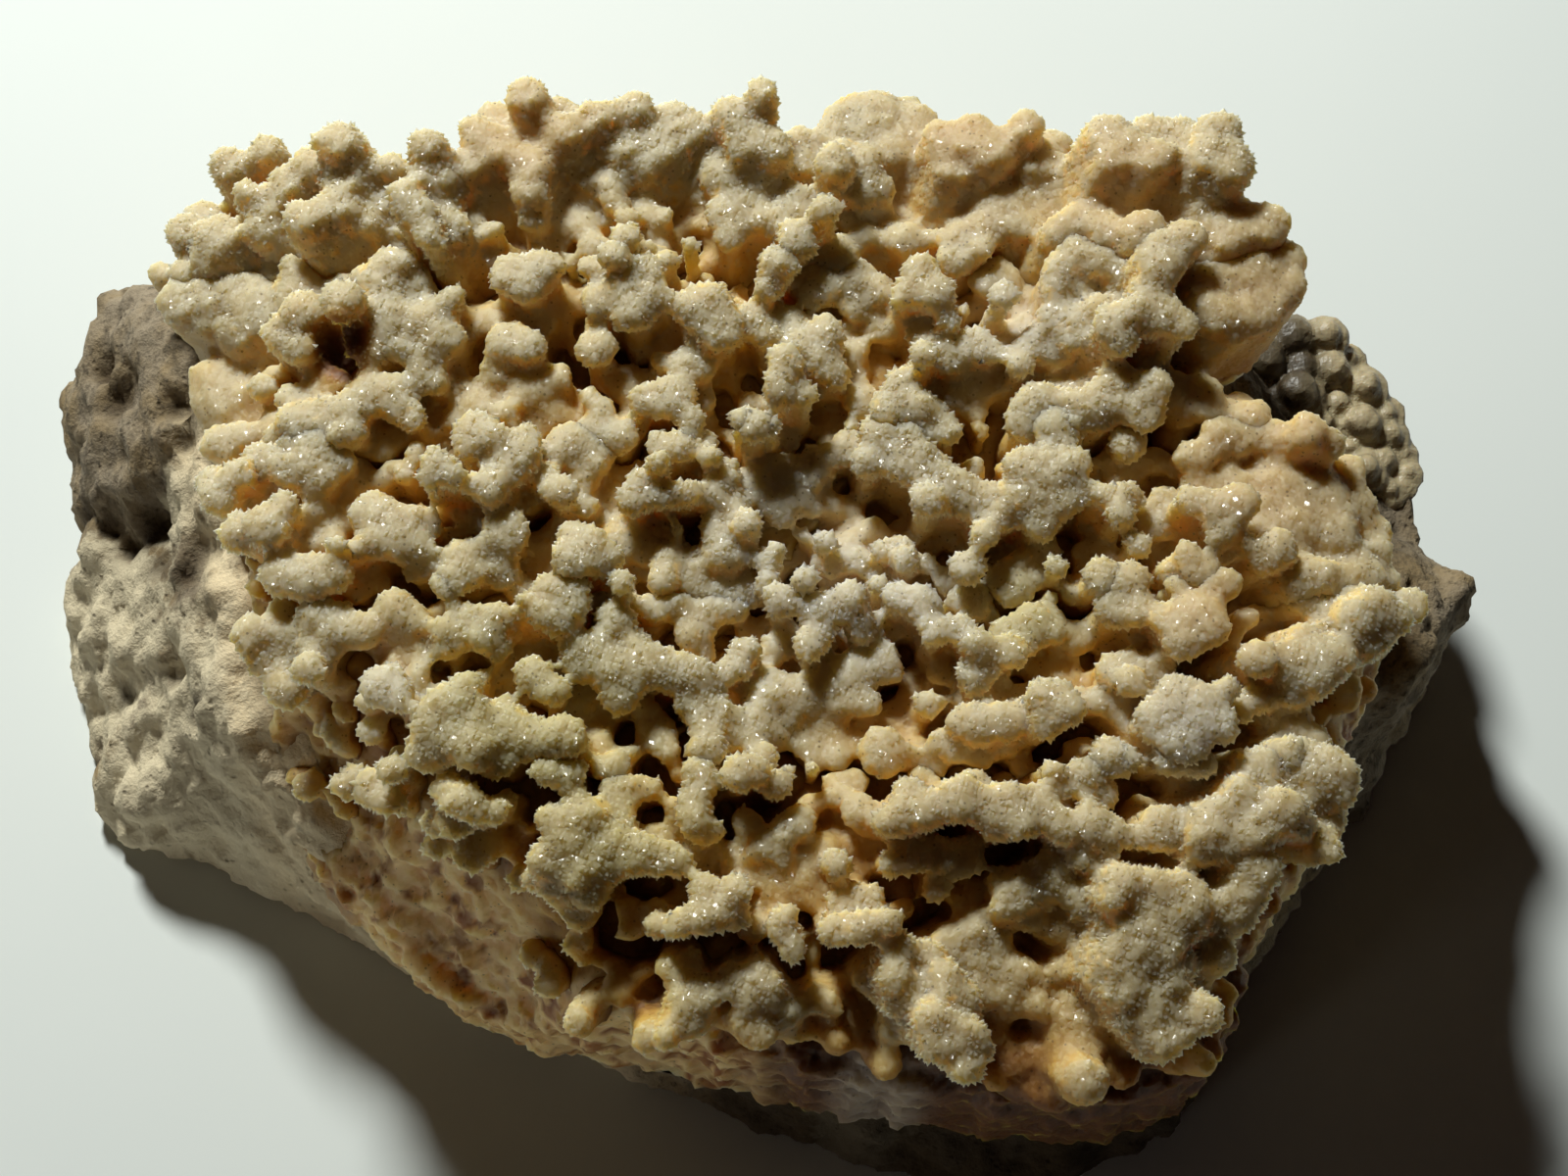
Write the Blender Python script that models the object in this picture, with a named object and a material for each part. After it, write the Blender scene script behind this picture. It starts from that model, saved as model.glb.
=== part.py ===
"""Knobbly calcite crust grown on a broken block of limestone, lying on its flat foot."""

import math

import bmesh
import bpy
from mathutils import Matrix, Vector, noise

# One millimetre in metres: the sizes below are in millimetres unless they say otherwise.
MM = 0.001

# Limestone: outer length and depth of the block, and how rough its broken faces are.
ROCK_LENGTH = 163.0
ROCK_DEPTH = 115.0
ROCK_BUMP = 1.3
ROCK_GRAIN = 1.9
ROCK_TRIANGLES = 2000

# Corners of the main block, foot ring first, then the waist, the shoulder and the top.
BLOCK_CORNERS = (
    (-76, -10, -3), (-80, 4, -3), (-80, 24, -3), (-73, 42, -3), (-46, 55, -3), (-6, 58, -3), (36, 55, -3),
    (62, 42, -3), (74, 26, -3), (76, 6, -3), (66, -14, -3), (54, -34, -3), (46, -50, -3), (28, -57, -3),
    (8, -53, -3), (-10, -42, -3), (-30, -37, -3), (-50, -22, -3), (-66, -17, -3),
    (-82, 10, 7), (-81, 30, 9), (-76, 44, 12), (-50, 56, 14), (-4, 57, 16), (40, 55, 16), (66, 42, 14),
    (66, -16, 16), (55, -34, 14), (47, -50, 8), (28, -56, 6),
    (-56, -12, 30), (-58, 4, 33), (-61, 18, 35), (-65, 30, 36), (-66, 38, 35), (-56, 46, 36), (-30, 50, 38),
    (10, 51, 39), (44, 46, 38), (54, 34, 34), (60, 10, 31), (64, 0, 31), (62, -14, 28), (52, -32, 23),
    (44, -46, 17), (28, -50, 15), (8, -46, 16), (-12, -38, 18), (-30, -33, 20), (-46, -23, 24),
    (-40, 20, 38), (-20, 36, 40), (10, 10, 37), (30, 30, 40), (0, -20, 35), (30, -20, 34),
)
# Low shelf behind the crust on the right, and the pointed end beside it.
SHELF_CORNERS = (
    (50, 38, 22), (60, 40, 25), (67, 38, 25), (74, 31, 24), (77, 24, 23), (76, 14, 23), (50, 14, 27),
    (54, 45, -3), (72, 37, -3), (79, 23, -3), (77, 10, -3), (50, 10, -3),
)
POINT_CORNERS = (
    (56, 13, 30), (70, 12, 30), (74, 12, 26), (81, 8, 24), (79, 3, 21), (75, -1, 30), (71, -6, 31),
    (58, -8, 31), (81, 8, 15), (79, 0, -3), (79, 13, -3), (71, -13, -3), (56, -20, -3), (56, 12, -3),
)

# Crust: height of its bed between the knobs, and how far the knobs stand above that bed.
BED_HEIGHT = 42.0
KNOB_REACH = 9.0
FRONT_FALL = 11.0
LEFT_FALL = 5.0
STALK_SHARE = 0.74
RIM_LEAN = 36.0
GAP = 0.4
CRUST_GRAIN = 1.0
CRUST_TRIANGLES = 6200

# Outline of the crust's bed: x, y and the height of its lower edge.
RIM = (
    (-63, 36, 30), (-61, 28, 30), (-59, 20, 29), (-57, 11, 28), (-54, 3, 27), (-52, -6, 25), (-51, -15, 20),
    (-50, -23, 13), (-46, -28, 10), (-40, -32, 9), (-36, -37, 9), (-30, -41, 9), (-22, -44, 9),
    (-10, -46, 10), (0, -49, 12), (8, -51, 14), (18, -53, 14), (28, -54, 13), (38, -54, 12), (45, -52, 12),
    (50, -46, 15), (52, -38, 19), (56, -32, 20), (60, -26, 22), (62, -18, 24), (67, -10, 27), (70, -3, 29),
    (68, 5, 29), (63, 11, 30), (57, 15, 31), (51, 19, 33), (50, 23, 35), (54, 25, 37), (58, 28, 38),
    (59, 33, 39), (56, 39, 40), (50, 44, 40), (43, 47, 40), (34, 49, 40), (24, 50, 40), (12, 52, 40),
    (0, 52, 40), (-12, 51, 40), (-24, 51, 40), (-34, 49, 38), (-46, 47, 36), (-56, 45, 34), (-62, 41, 31),
)

# Knob heads of the crust: x, y, radius, and height above or below the general level of the tips.
KNOBS = (
    # back left corner
    (-53, 49, 1.9, 0), (-57.3, 47.8, 2.5, 0), (-44, 46.6, 2.7, 0), (-47.5, 45.8, 2.2, 0), (-50, 43.8, 2.2, 0),
    (-52, 41.3, 2.1, 0), (-60.6, 43.3, 2.4, -1), (-62, 40.5, 2.3, -1), (-58, 38.9, 2.9, 0),
    (-58.5, 36.8, 2.4, -1), (-54.5, 42.8, 1.7, 0), (-65, 36.8, 1.6, -2), (-61.8, 35.8, 1.8, -1),
    (-56.3, 36.5, 1.1, 0), (-52.4, 38.9, 2.3, 0), (-47.6, 38, 2.3, 0), (-50.3, 35.8, 2.6, -1),
    (-48.8, 33.7, 2.4, 0), (-43.9, 39.8, 2.5, -1), (-43.5, 43, 2.8, -1), (-40, 41.4, 2.2, 0),
    (-38, 41, 1.8, 0), (-36.3, 39, 1.9, 0), (-34.2, 45.4, 2.1, 0), (-33, 42, 1.7, 0), (-35, 42.2, 1.7, 0),
    (-38.2, 44.3, 1.5, -1),
    # broad pale knobs down the left side
    (-61.8, 32.4, 2.8, 0), (-58.8, 33, 2.8, 0), (-56, 33, 3.1, 0), (-52.2, 30.4, 3.4, 0), (-55, 28.8, 3, 0),
    (-48.6, 31.3, 2.8, 0), (-47.1, 27.8, 2.6, 0), (-49.3, 25.7, 2.5, -0.5), (-47.4, 23.8, 2, -1),
    (-57.3, 22.5, 4, -2), (-56.5, 19.5, 3, -3), (-51.6, 21, 1.7, -1), (-46.6, 21, 1.6, -4),
    # back edge, left half
    (-27.6, 51.3, 2.3, 0), (-29.4, 48.3, 2, 0), (-27.3, 46.3, 2.7, 0), (-29.8, 44.4, 2.3, 0),
    (-23.8, 51.6, 2.5, 0), (-20.3, 50.9, 2.3, -1), (-19.6, 47.6, 2.3, 0), (-23.6, 44, 2.8, 0),
    (-23.2, 40.6, 2.3, -1), (-23, 38.2, 2, -3), (-13.2, 48.1, 3.2, 0), (-12.2, 51.6, 2.1, 0),
    (-8.3, 51, 2.6, 0), (-5.8, 49.7, 2.3, 0), (-9.5, 47.8, 3.2, 0), (-10.8, 45.6, 2.6, -0.5),
    (-16, 50, 2.2, -2), (1.5, 52.3, 1.8, 0), (-1.7, 50.5, 2.3, -1), (0.1, 47.4, 2.8, 0), (2.6, 46.3, 2.5, 0),
    (1.4, 43.4, 1.7, -0.5), (-2.4, 44.2, 2.9, 0), (-1.4, 41.8, 1.5, 0), (5.4, 49, 2.2, -1),
    (5.9, 46.3, 1.9, -1),
    # back edge, right half
    (14.5, 53.4, 2.6, 0), (11, 52.4, 2.6, 0), (9.2, 50.6, 1.7, 0), (12.3, 50, 3, 0), (15.8, 50.3, 3, 0),
    (18.9, 51.8, 2.6, 0), (16, 48.3, 2.4, 0), (21, 48.3, 1.9, -0.5), (10.4, 46.9, 1.9, 0), (9.5, 44, 2.5, 0),
    (12.6, 45.4, 2.3, 0), (12.8, 42.6, 2.4, -0.5), (14.8, 42.9, 1.7, -1), (24.5, 47.6, 3, -1),
    (26.6, 45.7, 2.5, -1), (22.5, 44.8, 3, -2), (30, 48.3, 2.1, 0), (33.3, 48.4, 2.3, 0), (31.7, 45.7, 2.7, 0),
    (31.8, 42.9, 2.5, -2), (38.6, 46, 2.7, 0), (38.8, 42.5, 2, 0), (40.9, 43.6, 2.7, 0), (43.5, 46.6, 3, 0),
    (43.3, 42.6, 2.3, 0), (46.5, 46.8, 2.7, 0), (50.4, 46, 2.6, 0), (49.5, 43, 2.7, 0), (51.6, 41.6, 2.4, 0),
    (49.1, 38.9, 2.6, 0), (52, 38, 2.3, 0), (49.6, 36.4, 2.6, 0), (51.3, 34.4, 2.2, 0), (37.5, 41, 3, -5),
    (42, 40.5, 3, -5),
    # smooth mound at the back right
    (55.1, 36.6, 3, -1), (56.9, 33.2, 3, -1), (56.2, 29.8, 3.2, -1), (54.5, 27.4, 3, -1), (53.6, 32.4, 3.2, -0.5),
    (52, 26, 2.8, -0.5), (51, 24.3, 2, -1), (48.3, 26.9, 2.7, 0), (50, 25.6, 2.3, 0), (46, 33, 2.3, 0),
    (41.8, 34.2, 2.7, -1), (43.3, 30.5, 3.4, -1), (42, 27, 2.8, -1), (43, 24.4, 2.8, -1), (45, 23.2, 2.2, -1),
    (33.3, 35.8, 2.4, 0), (36, 36.6, 2.6, 0), (38.3, 35, 2.6, 0), (35.6, 33.2, 3, 0), (38, 31.9, 2.2, 0),
    (33.4, 31.5, 2.4, 0), (32.5, 29.6, 1.9, -0.5),
    # behind the centre
    (28.1, 40.4, 2.7, 0), (25.9, 38, 2.8, 0), (23.2, 36.7, 2.6, 0), (22.2, 34, 2.1, 0), (25.2, 34.9, 1.8, 0),
    (29.2, 37.8, 2, -0.5), (26.6, 32.6, 3, -2), (32, 39.5, 1.8, -3), (8.5, 38, 2, 0), (5.4, 35.2, 2.6, 0),
    (9.4, 35, 3, 0), (7.6, 31.9, 3.2, 0), (11.6, 32.4, 3, 0), (14, 31, 2.1, 0), (3.5, 32.7, 2.5, -0.5),
    (2.4, 30.5, 2, -1.5), (0, 35.5, 3, -6), (1.7, 38.8, 1.9, 0), (3.6, 38.2, 2.3, -0.5), (5.8, 40, 2.5, 0),
    (5.3, 42, 1.5, 0), (-2.6, 39.6, 2.3, 0), (-1.9, 37, 2.3, 0), (-0.7, 40.6, 1.4, 0), (-6.9, 40.5, 2, -4),
    (-8.7, 39.5, 1.3, -5), (-12.8, 38.3, 1.6, -1), (-14.7, 43, 1.9, -3), (-14.4, 41, 1.6, -3),
    (-17.8, 38.8, 2.3, -4), (-16.2, 35.5, 2.2, -2), (-16.4, 33, 1.9, -1), (-12.9, 34.8, 2.2, -1),
    (-14, 32.6, 1.9, -0.5), (-10.5, 38, 1.9, -4), (-6, 35, 1.4, -2), (-8.5, 33.4, 1.9, 0),
    (-10.7, 31.7, 2.3, 0), (-12.6, 30, 2.7, 0), (-15.7, 28.4, 2.2, -0.5), (-11.8, 27.6, 3, 0),
    (-9.9, 28.9, 2.1, 0), (16, 41, 1.7, -7), (18, 41, 1.9, -7), (17, 37, 2.4, -5), (18.3, 31, 2.3, 0),
    (17, 28.6, 2, 0), (19.8, 28.6, 2.6, 0), (18.6, 26, 2, -0.5), (27.1, 28, 1.9, -1), (23.4, 29, 1, -3),
    # left of the centre
    (-35, 37.2, 2.2, 0), (-32.2, 38.3, 2.2, 0), (-31, 36.4, 2, 0), (-33.3, 34.2, 2, 0), (-40.6, 38, 1.6, -2),
    (-38.1, 32.7, 2.5, 0), (-38.9, 30.6, 2.7, 0), (-41.1, 31.9, 1.4, 0), (-36.4, 33, 1.6, 0),
    (-42.2, 27.1, 2.5, 0), (-37.9, 27.1, 3.2, 0), (-33.6, 26.3, 3, 0), (-31.5, 24.2, 2.6, 0),
    (-34.2, 22.6, 2.6, 0), (-33, 20.2, 2.3, -0.5), (-40.2, 23.7, 2.6, 0), (-37.4, 24, 2.4, 0),
    (-31, 28.6, 1.6, -2), (-43.6, 31.8, 2, -3), (-24.6, 31.6, 2.8, 0), (-21.8, 32, 2.8, 0), (-23.2, 30, 2.6, 0),
    (-26, 30.6, 1.7, 0), (-25.4, 24, 2.5, 0), (-23, 23.5, 2.4, 0), (-22.7, 20.3, 3.2, -1.5),
    (-19.8, 21, 1.8, -1.5), (-15.8, 23.5, 2.5, 0), (-4.3, 27.3, 3.5, 0), (-2.7, 25, 2.8, 0), (0.8, 27, 2.2, 0),
    (1.8, 25.2, 1.9, 0), (-5.4, 22.6, 3, -3), (8.5, 25.2, 2.4, 0), (6, 23.9, 2.5, 0), (7.8, 22.6, 2.6, 0),
    (4.8, 27.5, 1.7, -2), (9.3, 21, 2, -0.5), (4.2, 20.8, 2.2, 0), (3.3, 17.5, 1.9, 0), (3.5, 19, 1.8, 0),
    (12.1, 24.8, 1.4, -4), (21.4, 25.8, 1.7, 0), (19.4, 23.8, 2.2, 0), (18.5, 21.4, 1.9, 0), (21.8, 23, 2.8, 0),
    (24.4, 23.8, 2.2, 0), (25.5, 22.5, 1.8, 0), (22.8, 21.2, 2.8, -2), (33, 26.4, 2.6, 0), (35.3, 25.2, 2.6, 0),
    (37.1, 26.2, 2, 0), (34.4, 23.5, 2.2, 0), (30, 23.3, 1.9, 0), (32.1, 22.4, 1.8, -0.5), (38, 23.2, 2.6, 0),
    (40.2, 24.2, 1.9, 0), (38.9, 21.2, 2, 0), (28.7, 20.8, 1.8, -2), (35.4, 21, 1.6, -4),
    # middle, left
    (-47.1, 15.7, 2.6, 0), (-44.3, 15.7, 2.8, 0), (-41.4, 16.6, 2.6, 0), (-39.7, 18.3, 2.6, 0),
    (-37.4, 18.2, 2.5, 0), (-36, 16.5, 2.2, 0), (-34.8, 15.2, 1.8, 0), (-44.5, 13.2, 2.8, 0),
    (-41.5, 14.2, 2.6, 0), (-47.4, 13.8, 1.8, 0), (-45.6, 11.3, 2.4, 0), (-43.9, 9.7, 2.2, -0.5),
    (-38.5, 14, 2.6, -3), (-56, 15.3, 2.6, -1), (-53.6, 16, 2, -2), (-56, 9.8, 1.9, -1), (-54.7, 7.3, 2.4, -1),
    (-53, 9.3, 2, -1.5), (-51, 12.2, 2.3, 0), (-48.4, 11.2, 2.6, 0), (-47.2, 9.6, 2, 0), (-51.8, 2.7, 2.6, -1),
    (-49, 2.8, 2.6, -0.5), (-47.5, 5.2, 1.9, -1), (-47.5, -1.6, 2.8, -1), (-44.5, -2.3, 2.9, -1),
    (-42, -2.2, 2.3, -1.5), (-50.8, -7.3, 2.4, -1), (-47.6, -7.2, 2.4, -1), (-49.2, -9.8, 2.4, -1),
    (-43.6, -5.8, 2.4, 0), (-41.6, -7, 2.8, 0), (-39.1, -7.8, 2.4, 0), (-43.3, -9.2, 2.7, -0.5),
    (-46.8, -12.8, 2.7, -0.5), (-44, -12.2, 2.1, -0.5), (-36.8, 4.1, 2.7, 0), (-34.5, 4.2, 1.9, 0),
    (-35.6, 2, 2.9, 0), (-38, 1.7, 2.2, 0), (-39.6, 0.8, 1.8, -0.5), (-41.6, 0.4, 1.4, -1),
    (-33.5, 1, 1.9, -0.5), (-33.6, -1.2, 1.7, -1.5), (-29, 0, 2.3, 0), (-29.3, -2.1, 2.4, 0),
    (-30.6, -3.5, 1.8, 0), (-27.8, -1.7, 1.7, 0), (-24.5, 2.6, 2.8, -2.5), (-25.3, -1, 2.4, -2.5),
    (-35.8, -5, 2.2, -1.5), (-34, -6.4, 2.5, -2), (-28.2, -6.9, 2.4, 0), (-30, -7.8, 2, 0),
    (-25.6, -7.1, 2.2, 0), (-26.7, -8.6, 2.1, 0), (-22.7, -5.4, 0.9, 0), (-22.7, -6.8, 0.9, 0),
    (-31.8, 14.4, 1.4, -5), (-27.9, 13.3, 2.6, 0), (-28.7, 11.3, 2, 0), (-26.4, 12.4, 1.8, 0),
    (-31.6, 8.6, 2, 0), (-30.1, 7.4, 1.7, 0), (-32.2, 7.2, 1.6, 0), (-24.6, 9, 2.6, 0), (-25.9, 7.2, 2.4, 0),
    (-27.3, 6.7, 1.6, 0), (-22.9, 10.8, 2.1, 0), (-20.8, 8.5, 2.1, 0), (-19, 6.5, 2.2, -2), (-22.8, 12.6, 2, -1),
    (-28, 17.6, 2.8, -2), (-30.1, 16.6, 2, -3), (-22.9, 18, 3, -2.5), (-20.5, 17.6, 2.4, -3),
    # middle
    (-18.1, 13.3, 2.8, 0), (-15.8, 12.6, 2.8, 0), (-13.4, 14, 2.4, 0), (-19.5, 11.9, 1.7, 0),
    (-10.8, 17.8, 1.9, -0.5), (-7.8, 18, 2.7, -1), (-12.5, 21, 2.7, -3), (-9.2, 13.4, 1.5, 0),
    (-9.3, 12.2, 1.4, 0), (-5.4, 15.4, 1.6, 0), (-5.8, 14, 1.8, 0), (-6.8, 12.5, 2.2, 0), (-3.6, 11, 1.4, 0),
    (-1.4, 11.2, 1.1, 0), (-2.3, 9.3, 1.9, 0), (-3.6, 7.7, 2, 0), (-1.8, 6.6, 2.4, -0.5), (-2.5, 4, 2.6, -0.5),
    (0.3, 4, 1.9, -1), (-8.9, 9.3, 1.5, 0), (-10.9, 8.1, 1.8, -0.5), (-11.5, 6.2, 2.2, -0.5), (-8.5, 6.6, 2, 0),
    (-6.1, 7, 1.8, 0), (-6.9, 4, 1, 0), (-12.5, 3.5, 3, -4), (-8, 1.1, 1.6, 0), (-5.2, 0.6, 2.3, 0),
    (-2, 1.8, 2.6, 0), (0, 1.4, 1.5, 0), (-3.5, -1.7, 3, 0), (-1.1, -2.3, 2.7, 0), (-5.3, -1.5, 1.9, 0),
    (-3.5, -4.4, 2.2, 0), (-0.9, -3.8, 2, 0), (-15.7, 0.7, 1.9, 0), (-17.4, -1.2, 2.6, 0), (-14.6, -1, 2.3, 0),
    (-19.4, -4.3, 2.2, 0), (-17.9, -6, 2.4, 0), (-20.2, -6.6, 2.2, 0), (-17, -4, 1.7, 0), (-18.5, -7.8, 1.7, 0),
    (-12.5, -3.6, 1.6, 0), (-10.2, -4.2, 1.8, 0), (-9.2, -5, 1.5, 0), (-8.7, -1.6, 1.9, -2),
    (-7.2, -3.8, 1.4, -2), (-13.1, -6.8, 2.2, -1), (-5.4, -6.9, 2.4, -2), (0.9, 13.8, 2.3, 0),
    (2.4, 14, 1.6, -0.5), (-0.5, 14.6, 1.6, -0.5), (4.2, 10.8, 2.8, 0), (1.8, 9.2, 2.6, 0), (5, 9.5, 2.8, 0),
    (3.5, 7.4, 2.6, 0), (6.8, 10.2, 1.7, -0.5), (8.3, 11.4, 1.3, -2), (2.4, -2.4, 1.7, 0), (3.6, -4.6, 2.2, 0),
    (6.2, -2.5, 1.7, 0), (2.5, 0.3, 1.5, -1), (3.3, 1.4, 1.2, -1), (7.4, -5.2, 2.1, 0), (7.4, -7.8, 2.3, 0),
    (6.6, -9.2, 2, 0), (10.9, -3.7, 1.9, -0.5), (11.2, -5.9, 1.8, -1), (11.8, -7.5, 1.4, -2),
    (8.3, 2.8, 1.7, -3), (11.6, 1.5, 1.8, -2), (16.2, 2.3, 1.7, -3), (16.5, 0, 1.8, -2), (14.2, 1.8, 1.5, -3),
    (13.8, -2.2, 1.4, 0), (15.6, -4.2, 2, 0), (17.9, -5.2, 2.3, 0), (19.2, -8.5, 1.8, 0), (21.9, -7.6, 1.9, 0),
    (23.6, -9.6, 2, 0), (23.2, -12.4, 2.3, 0), (9.2, 8.4, 1.8, -5), (11, 8.2, 1.7, -6),
    # middle, right
    (16.2, 18.9, 2.1, 0), (15.3, 16.4, 2.6, 0), (18, 16.7, 2.3, 0), (14.4, 13.9, 2.8, 0), (10.8, 13.7, 2.5, 0),
    (9, 12.9, 1.7, 0), (17.1, 13.6, 2.3, 0), (16.8, 10.9, 3, 0), (12.9, 10.9, 2.3, 0), (19, 9.4, 3.1, 0),
    (21.2, 7.8, 2.5, 0), (19, 5.7, 2.3, 0), (21.8, 6, 1.8, 0), (12.3, 19, 2.2, -5), (28.9, 9.3, 2.4, 0),
    (31.5, 8.6, 3, 0), (33.9, 9, 2.2, 0), (25, 6.8, 2.4, 0), (24.3, 5, 1.9, 0), (29.1, 6.2, 3, 0),
    (32.6, 5.8, 2.6, 0), (30.3, 3.7, 2.4, -0.5), (27, 4.5, 2.2, -0.5), (24.5, 2.1, 1.7, 0), (22.8, -1.2, 2.1, 0),
    (28.6, 0.8, 0.8, -2), (31.9, -1.4, 1.6, -2), (33.7, -2.8, 1.5, -2), (23.3, -3.2, 2.6, -3), (27.6, -1.6, 3, -4),
    (29.5, -6.2, 2.2, 0), (26.8, -7.3, 2.2, 0), (30.6, -7.6, 1.9, 0), (28.6, -8.3, 1.9, 0), (27, -10.3, 2.1, -1),
    (30.5, 16.7, 2.4, 0), (29.3, 14.8, 2.6, 0), (32.2, 13.8, 3, 0), (34.6, 14.2, 1.8, 0), (34.3, 16.6, 1.4, 0),
    (39, 18.5, 2.2, 0), (36.9, 17, 2.2, 0), (36, 15.8, 1.8, 0), (39.5, 16.2, 2.8, 0), (42.4, 17.4, 2.2, 0),
    (41.2, 14.8, 2.5, 0), (39.7, 12.6, 2.6, -1), (39.2, 9.4, 1.8, -3), (38.2, 5.1, 1.9, 0), (38.5, 3.5, 1.8, 0),
    (36.6, 6, 1.5, -0.5), (40.1, 0.5, 1.7, 0), (36.5, -3, 2.4, 0), (39.1, -3.5, 2.6, 0), (37.9, -6, 2.8, 0),
    (40.1, -6.4, 2.2, 0), (43.2, -8.2, 2.5, 0), (45.8, -7.6, 2.8, 0), (43.8, -10.5, 2.3, 0),
    (46.8, -9.3, 2.3, 0), (34, -7.5, 2.4, -3),
    # right side
    (44.5, 18.5, 3, -3), (48, 17.8, 3, -3), (52, 17.2, 2.7, -3), (53.1, 15.6, 2.6, -0.5), (49.4, 13.4, 2.6, 0),
    (51.5, 13.2, 2.3, 0), (55.1, 13.6, 2.4, 0), (48.8, 12, 1.5, 0), (46.7, 10.9, 2.3, -1), (58.3, 12.8, 2.4, -1),
    (60.6, 12.3, 2, -1.5), (63.4, 10.8, 2.2, -2), (47.8, 7.5, 2.8, -1), (51, 7.8, 2.8, -1), (45.3, 4.7, 1.9, 0),
    (47.6, 3.8, 2.4, 0), (50.3, 4.4, 2.4, 0), (48.4, 1.6, 2.2, 0), (51, 0.4, 1.6, 0), (48.8, -0.6, 1.4, 0),
    (44.8, -1, 1.7, 0), (46.2, -3, 2.4, -0.5), (47.9, -4.4, 2.4, -0.5), (44, -4.2, 1.8, -1),
    (55.7, 7.8, 3.8, -1.5), (59.2, 7.2, 3.8, -1.5), (62.8, 6.8, 3.6, -2), (65, 4.4, 3, -2.5),
    (60.5, 3.8, 3.4, -1.5), (56.8, 4, 3.4, -1.5), (53.5, 3.5, 2.5, -1.5), (54.2, 0.2, 2.3, 0),
    (56.6, -2.5, 3, 0), (59, -2, 1.9, 0), (57.1, -4.3, 2, -0.5), (52.8, -1.5, 1.9, -1), (61.5, -2.4, 2.4, 0),
    (64, -1.5, 2.4, 0), (66.3, -1.4, 2, -1), (61.8, -3.8, 1.7, 0), (68.6, -4.2, 2.1, -1.5),
    (63.8, -6, 2.8, -0.5), (62.2, -7.4, 2.4, -0.5), (64.2, -8.3, 2.2, -1), (66, -6.7, 2.1, -1),
    (63.2, 0.8, 1.8, -0.5), (66, 2, 1.4, -1.5), (51.1, -12.3, 2.3, 0), (47.9, -15.5, 1.6, 0),
    (49.5, -17, 1.7, 0), (51.3, -15.7, 1.8, 0), (54.5, -12.4, 2.6, 0), (56.9, -11.5, 2.6, 0),
    (59.3, -11.5, 2.6, 0), (57, -14, 2.4, 0), (54.6, -15.1, 1.7, 0), (53.3, -17, 2.4, -2),
    (55.6, -17.5, 2.1, -2), (57.5, -19.4, 1.7, -0.5), (50.6, -23.4, 2.3, 0), (52, -22.5, 1.8, 0),
    (54.1, -22, 2.2, 0), (56.1, -22.4, 2.6, 0), (58.3, -23.2, 2.6, 0), (59, -25, 2.2, -0.5),
    (56.3, -25.5, 2.4, -0.5), (57.7, -27.7, 2.4, -2), (57, -30.6, 2.1, -2), (53.2, -28.1, 2.2, 0),
    (51.5, -29.3, 2, 0), (49.8, -30.4, 2, 0), (54.6, -29.2, 1.8, -0.5), (48.6, -25.9, 1.4, 0),
    (47.7, -27.2, 1.5, 0), (46.6, -28.2, 1.6, 0), (45.6, -29.7, 2, 0), (45.3, -31.3, 2, 0), (47, -31.1, 1.7, 0),
    (43.1, -16.8, 2.8, 0), (41.4, -19, 2.8, 0), (45.1, -17.7, 2.8, 0), (46.5, -19.3, 2.4, 0),
    (43.3, -20.8, 3, 0), (42.3, -22.3, 2.2, -1), (42.7, -13.9, 1.9, -1), (37.3, -12, 2.2, 0),
    (38.8, -11.7, 2, 0), (38.7, -14.1, 1.8, 0), (40.8, -12, 1.9, 0), (35.6, -15.4, 1.5, -1.5),
    (32.5, -11.6, 2.6, -4), (36.4, -21.8, 2.6, 0), (38, -22.1, 1.7, 0), (34.2, -23.4, 2.6, 0),
    (35.5, -25.1, 2.2, -1), (33, -24.3, 1.7, 0), (41, -28.8, 2.6, -1), (39.7, -30, 1.8, -1),
    (42.7, -29.6, 1.7, -1),
    # front of the centre
    (-16, -10.8, 3, 0), (-13.4, -12.2, 3, 0), (-10.5, -11.4, 3.2, 0), (-7.9, -12, 2.6, 0), (-5.3, -12.4, 2.3, 0),
    (-12.5, -14.6, 2.5, -1), (-17, -10, 2.3, 0), (-11, -10, 2.3, 0), (-5, -15.4, 2.4, 0), (-2.7, -16.2, 2.2, 0),
    (-3.9, -17.8, 2.2, 0), (-3.6, -20.4, 2.2, 0), (-4.4, -22.8, 2.2, 0), (-4.6, -25.2, 2.3, 0),
    (-4.9, -27.4, 2.6, 0), (-3.8, -28.6, 2, -1), (-9, -17.5, 2.6, -6), (-7.9, -19.5, 2, -6),
    (-0.6, -23.8, 2.2, -2), (0.9, -23.2, 2, -2), (3, -24, 2, -4), (0, -9.6, 1.9, 0), (-0.9, -11.2, 2, 0),
    (-1.9, -12.4, 1.5, 0), (13.9, -10, 2.6, 0), (11.2, -11, 2.8, 0), (8.3, -12.3, 2.8, 0), (6, -13.2, 2.6, 0),
    (3.1, -12.7, 2.3, 0), (2, -14.2, 2.2, 0), (9.8, -14, 2.3, -0.5), (1, -16.8, 2.4, 0), (2.8, -17.6, 2, -1),
    (-0.6, -18.5, 1.6, 0), (8.8, -16.4, 2, -2), (15, -16, 3.2, -4), (14, -19.8, 3, -5), (10.9, -22.2, 1.8, -2),
    (8.9, -22.4, 1.5, -2), (6.9, -22, 1.1, -3), (11.5, -26, 2.3, 0), (12.3, -27.2, 1.6, -1),
    (22.5, -17.5, 2.4, 0), (18.7, -15, 2, -2), (26, -17.5, 2.4, 0), (23.8, -18, 2.3, 0), (30.9, -16.5, 2.8, 0),
    (32.3, -17.6, 1.9, 0), (29.6, -15.6, 1.8, 0), (17.9, -12, 2.2, -4), (18.8, -20.4, 1.4, -2),
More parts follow.
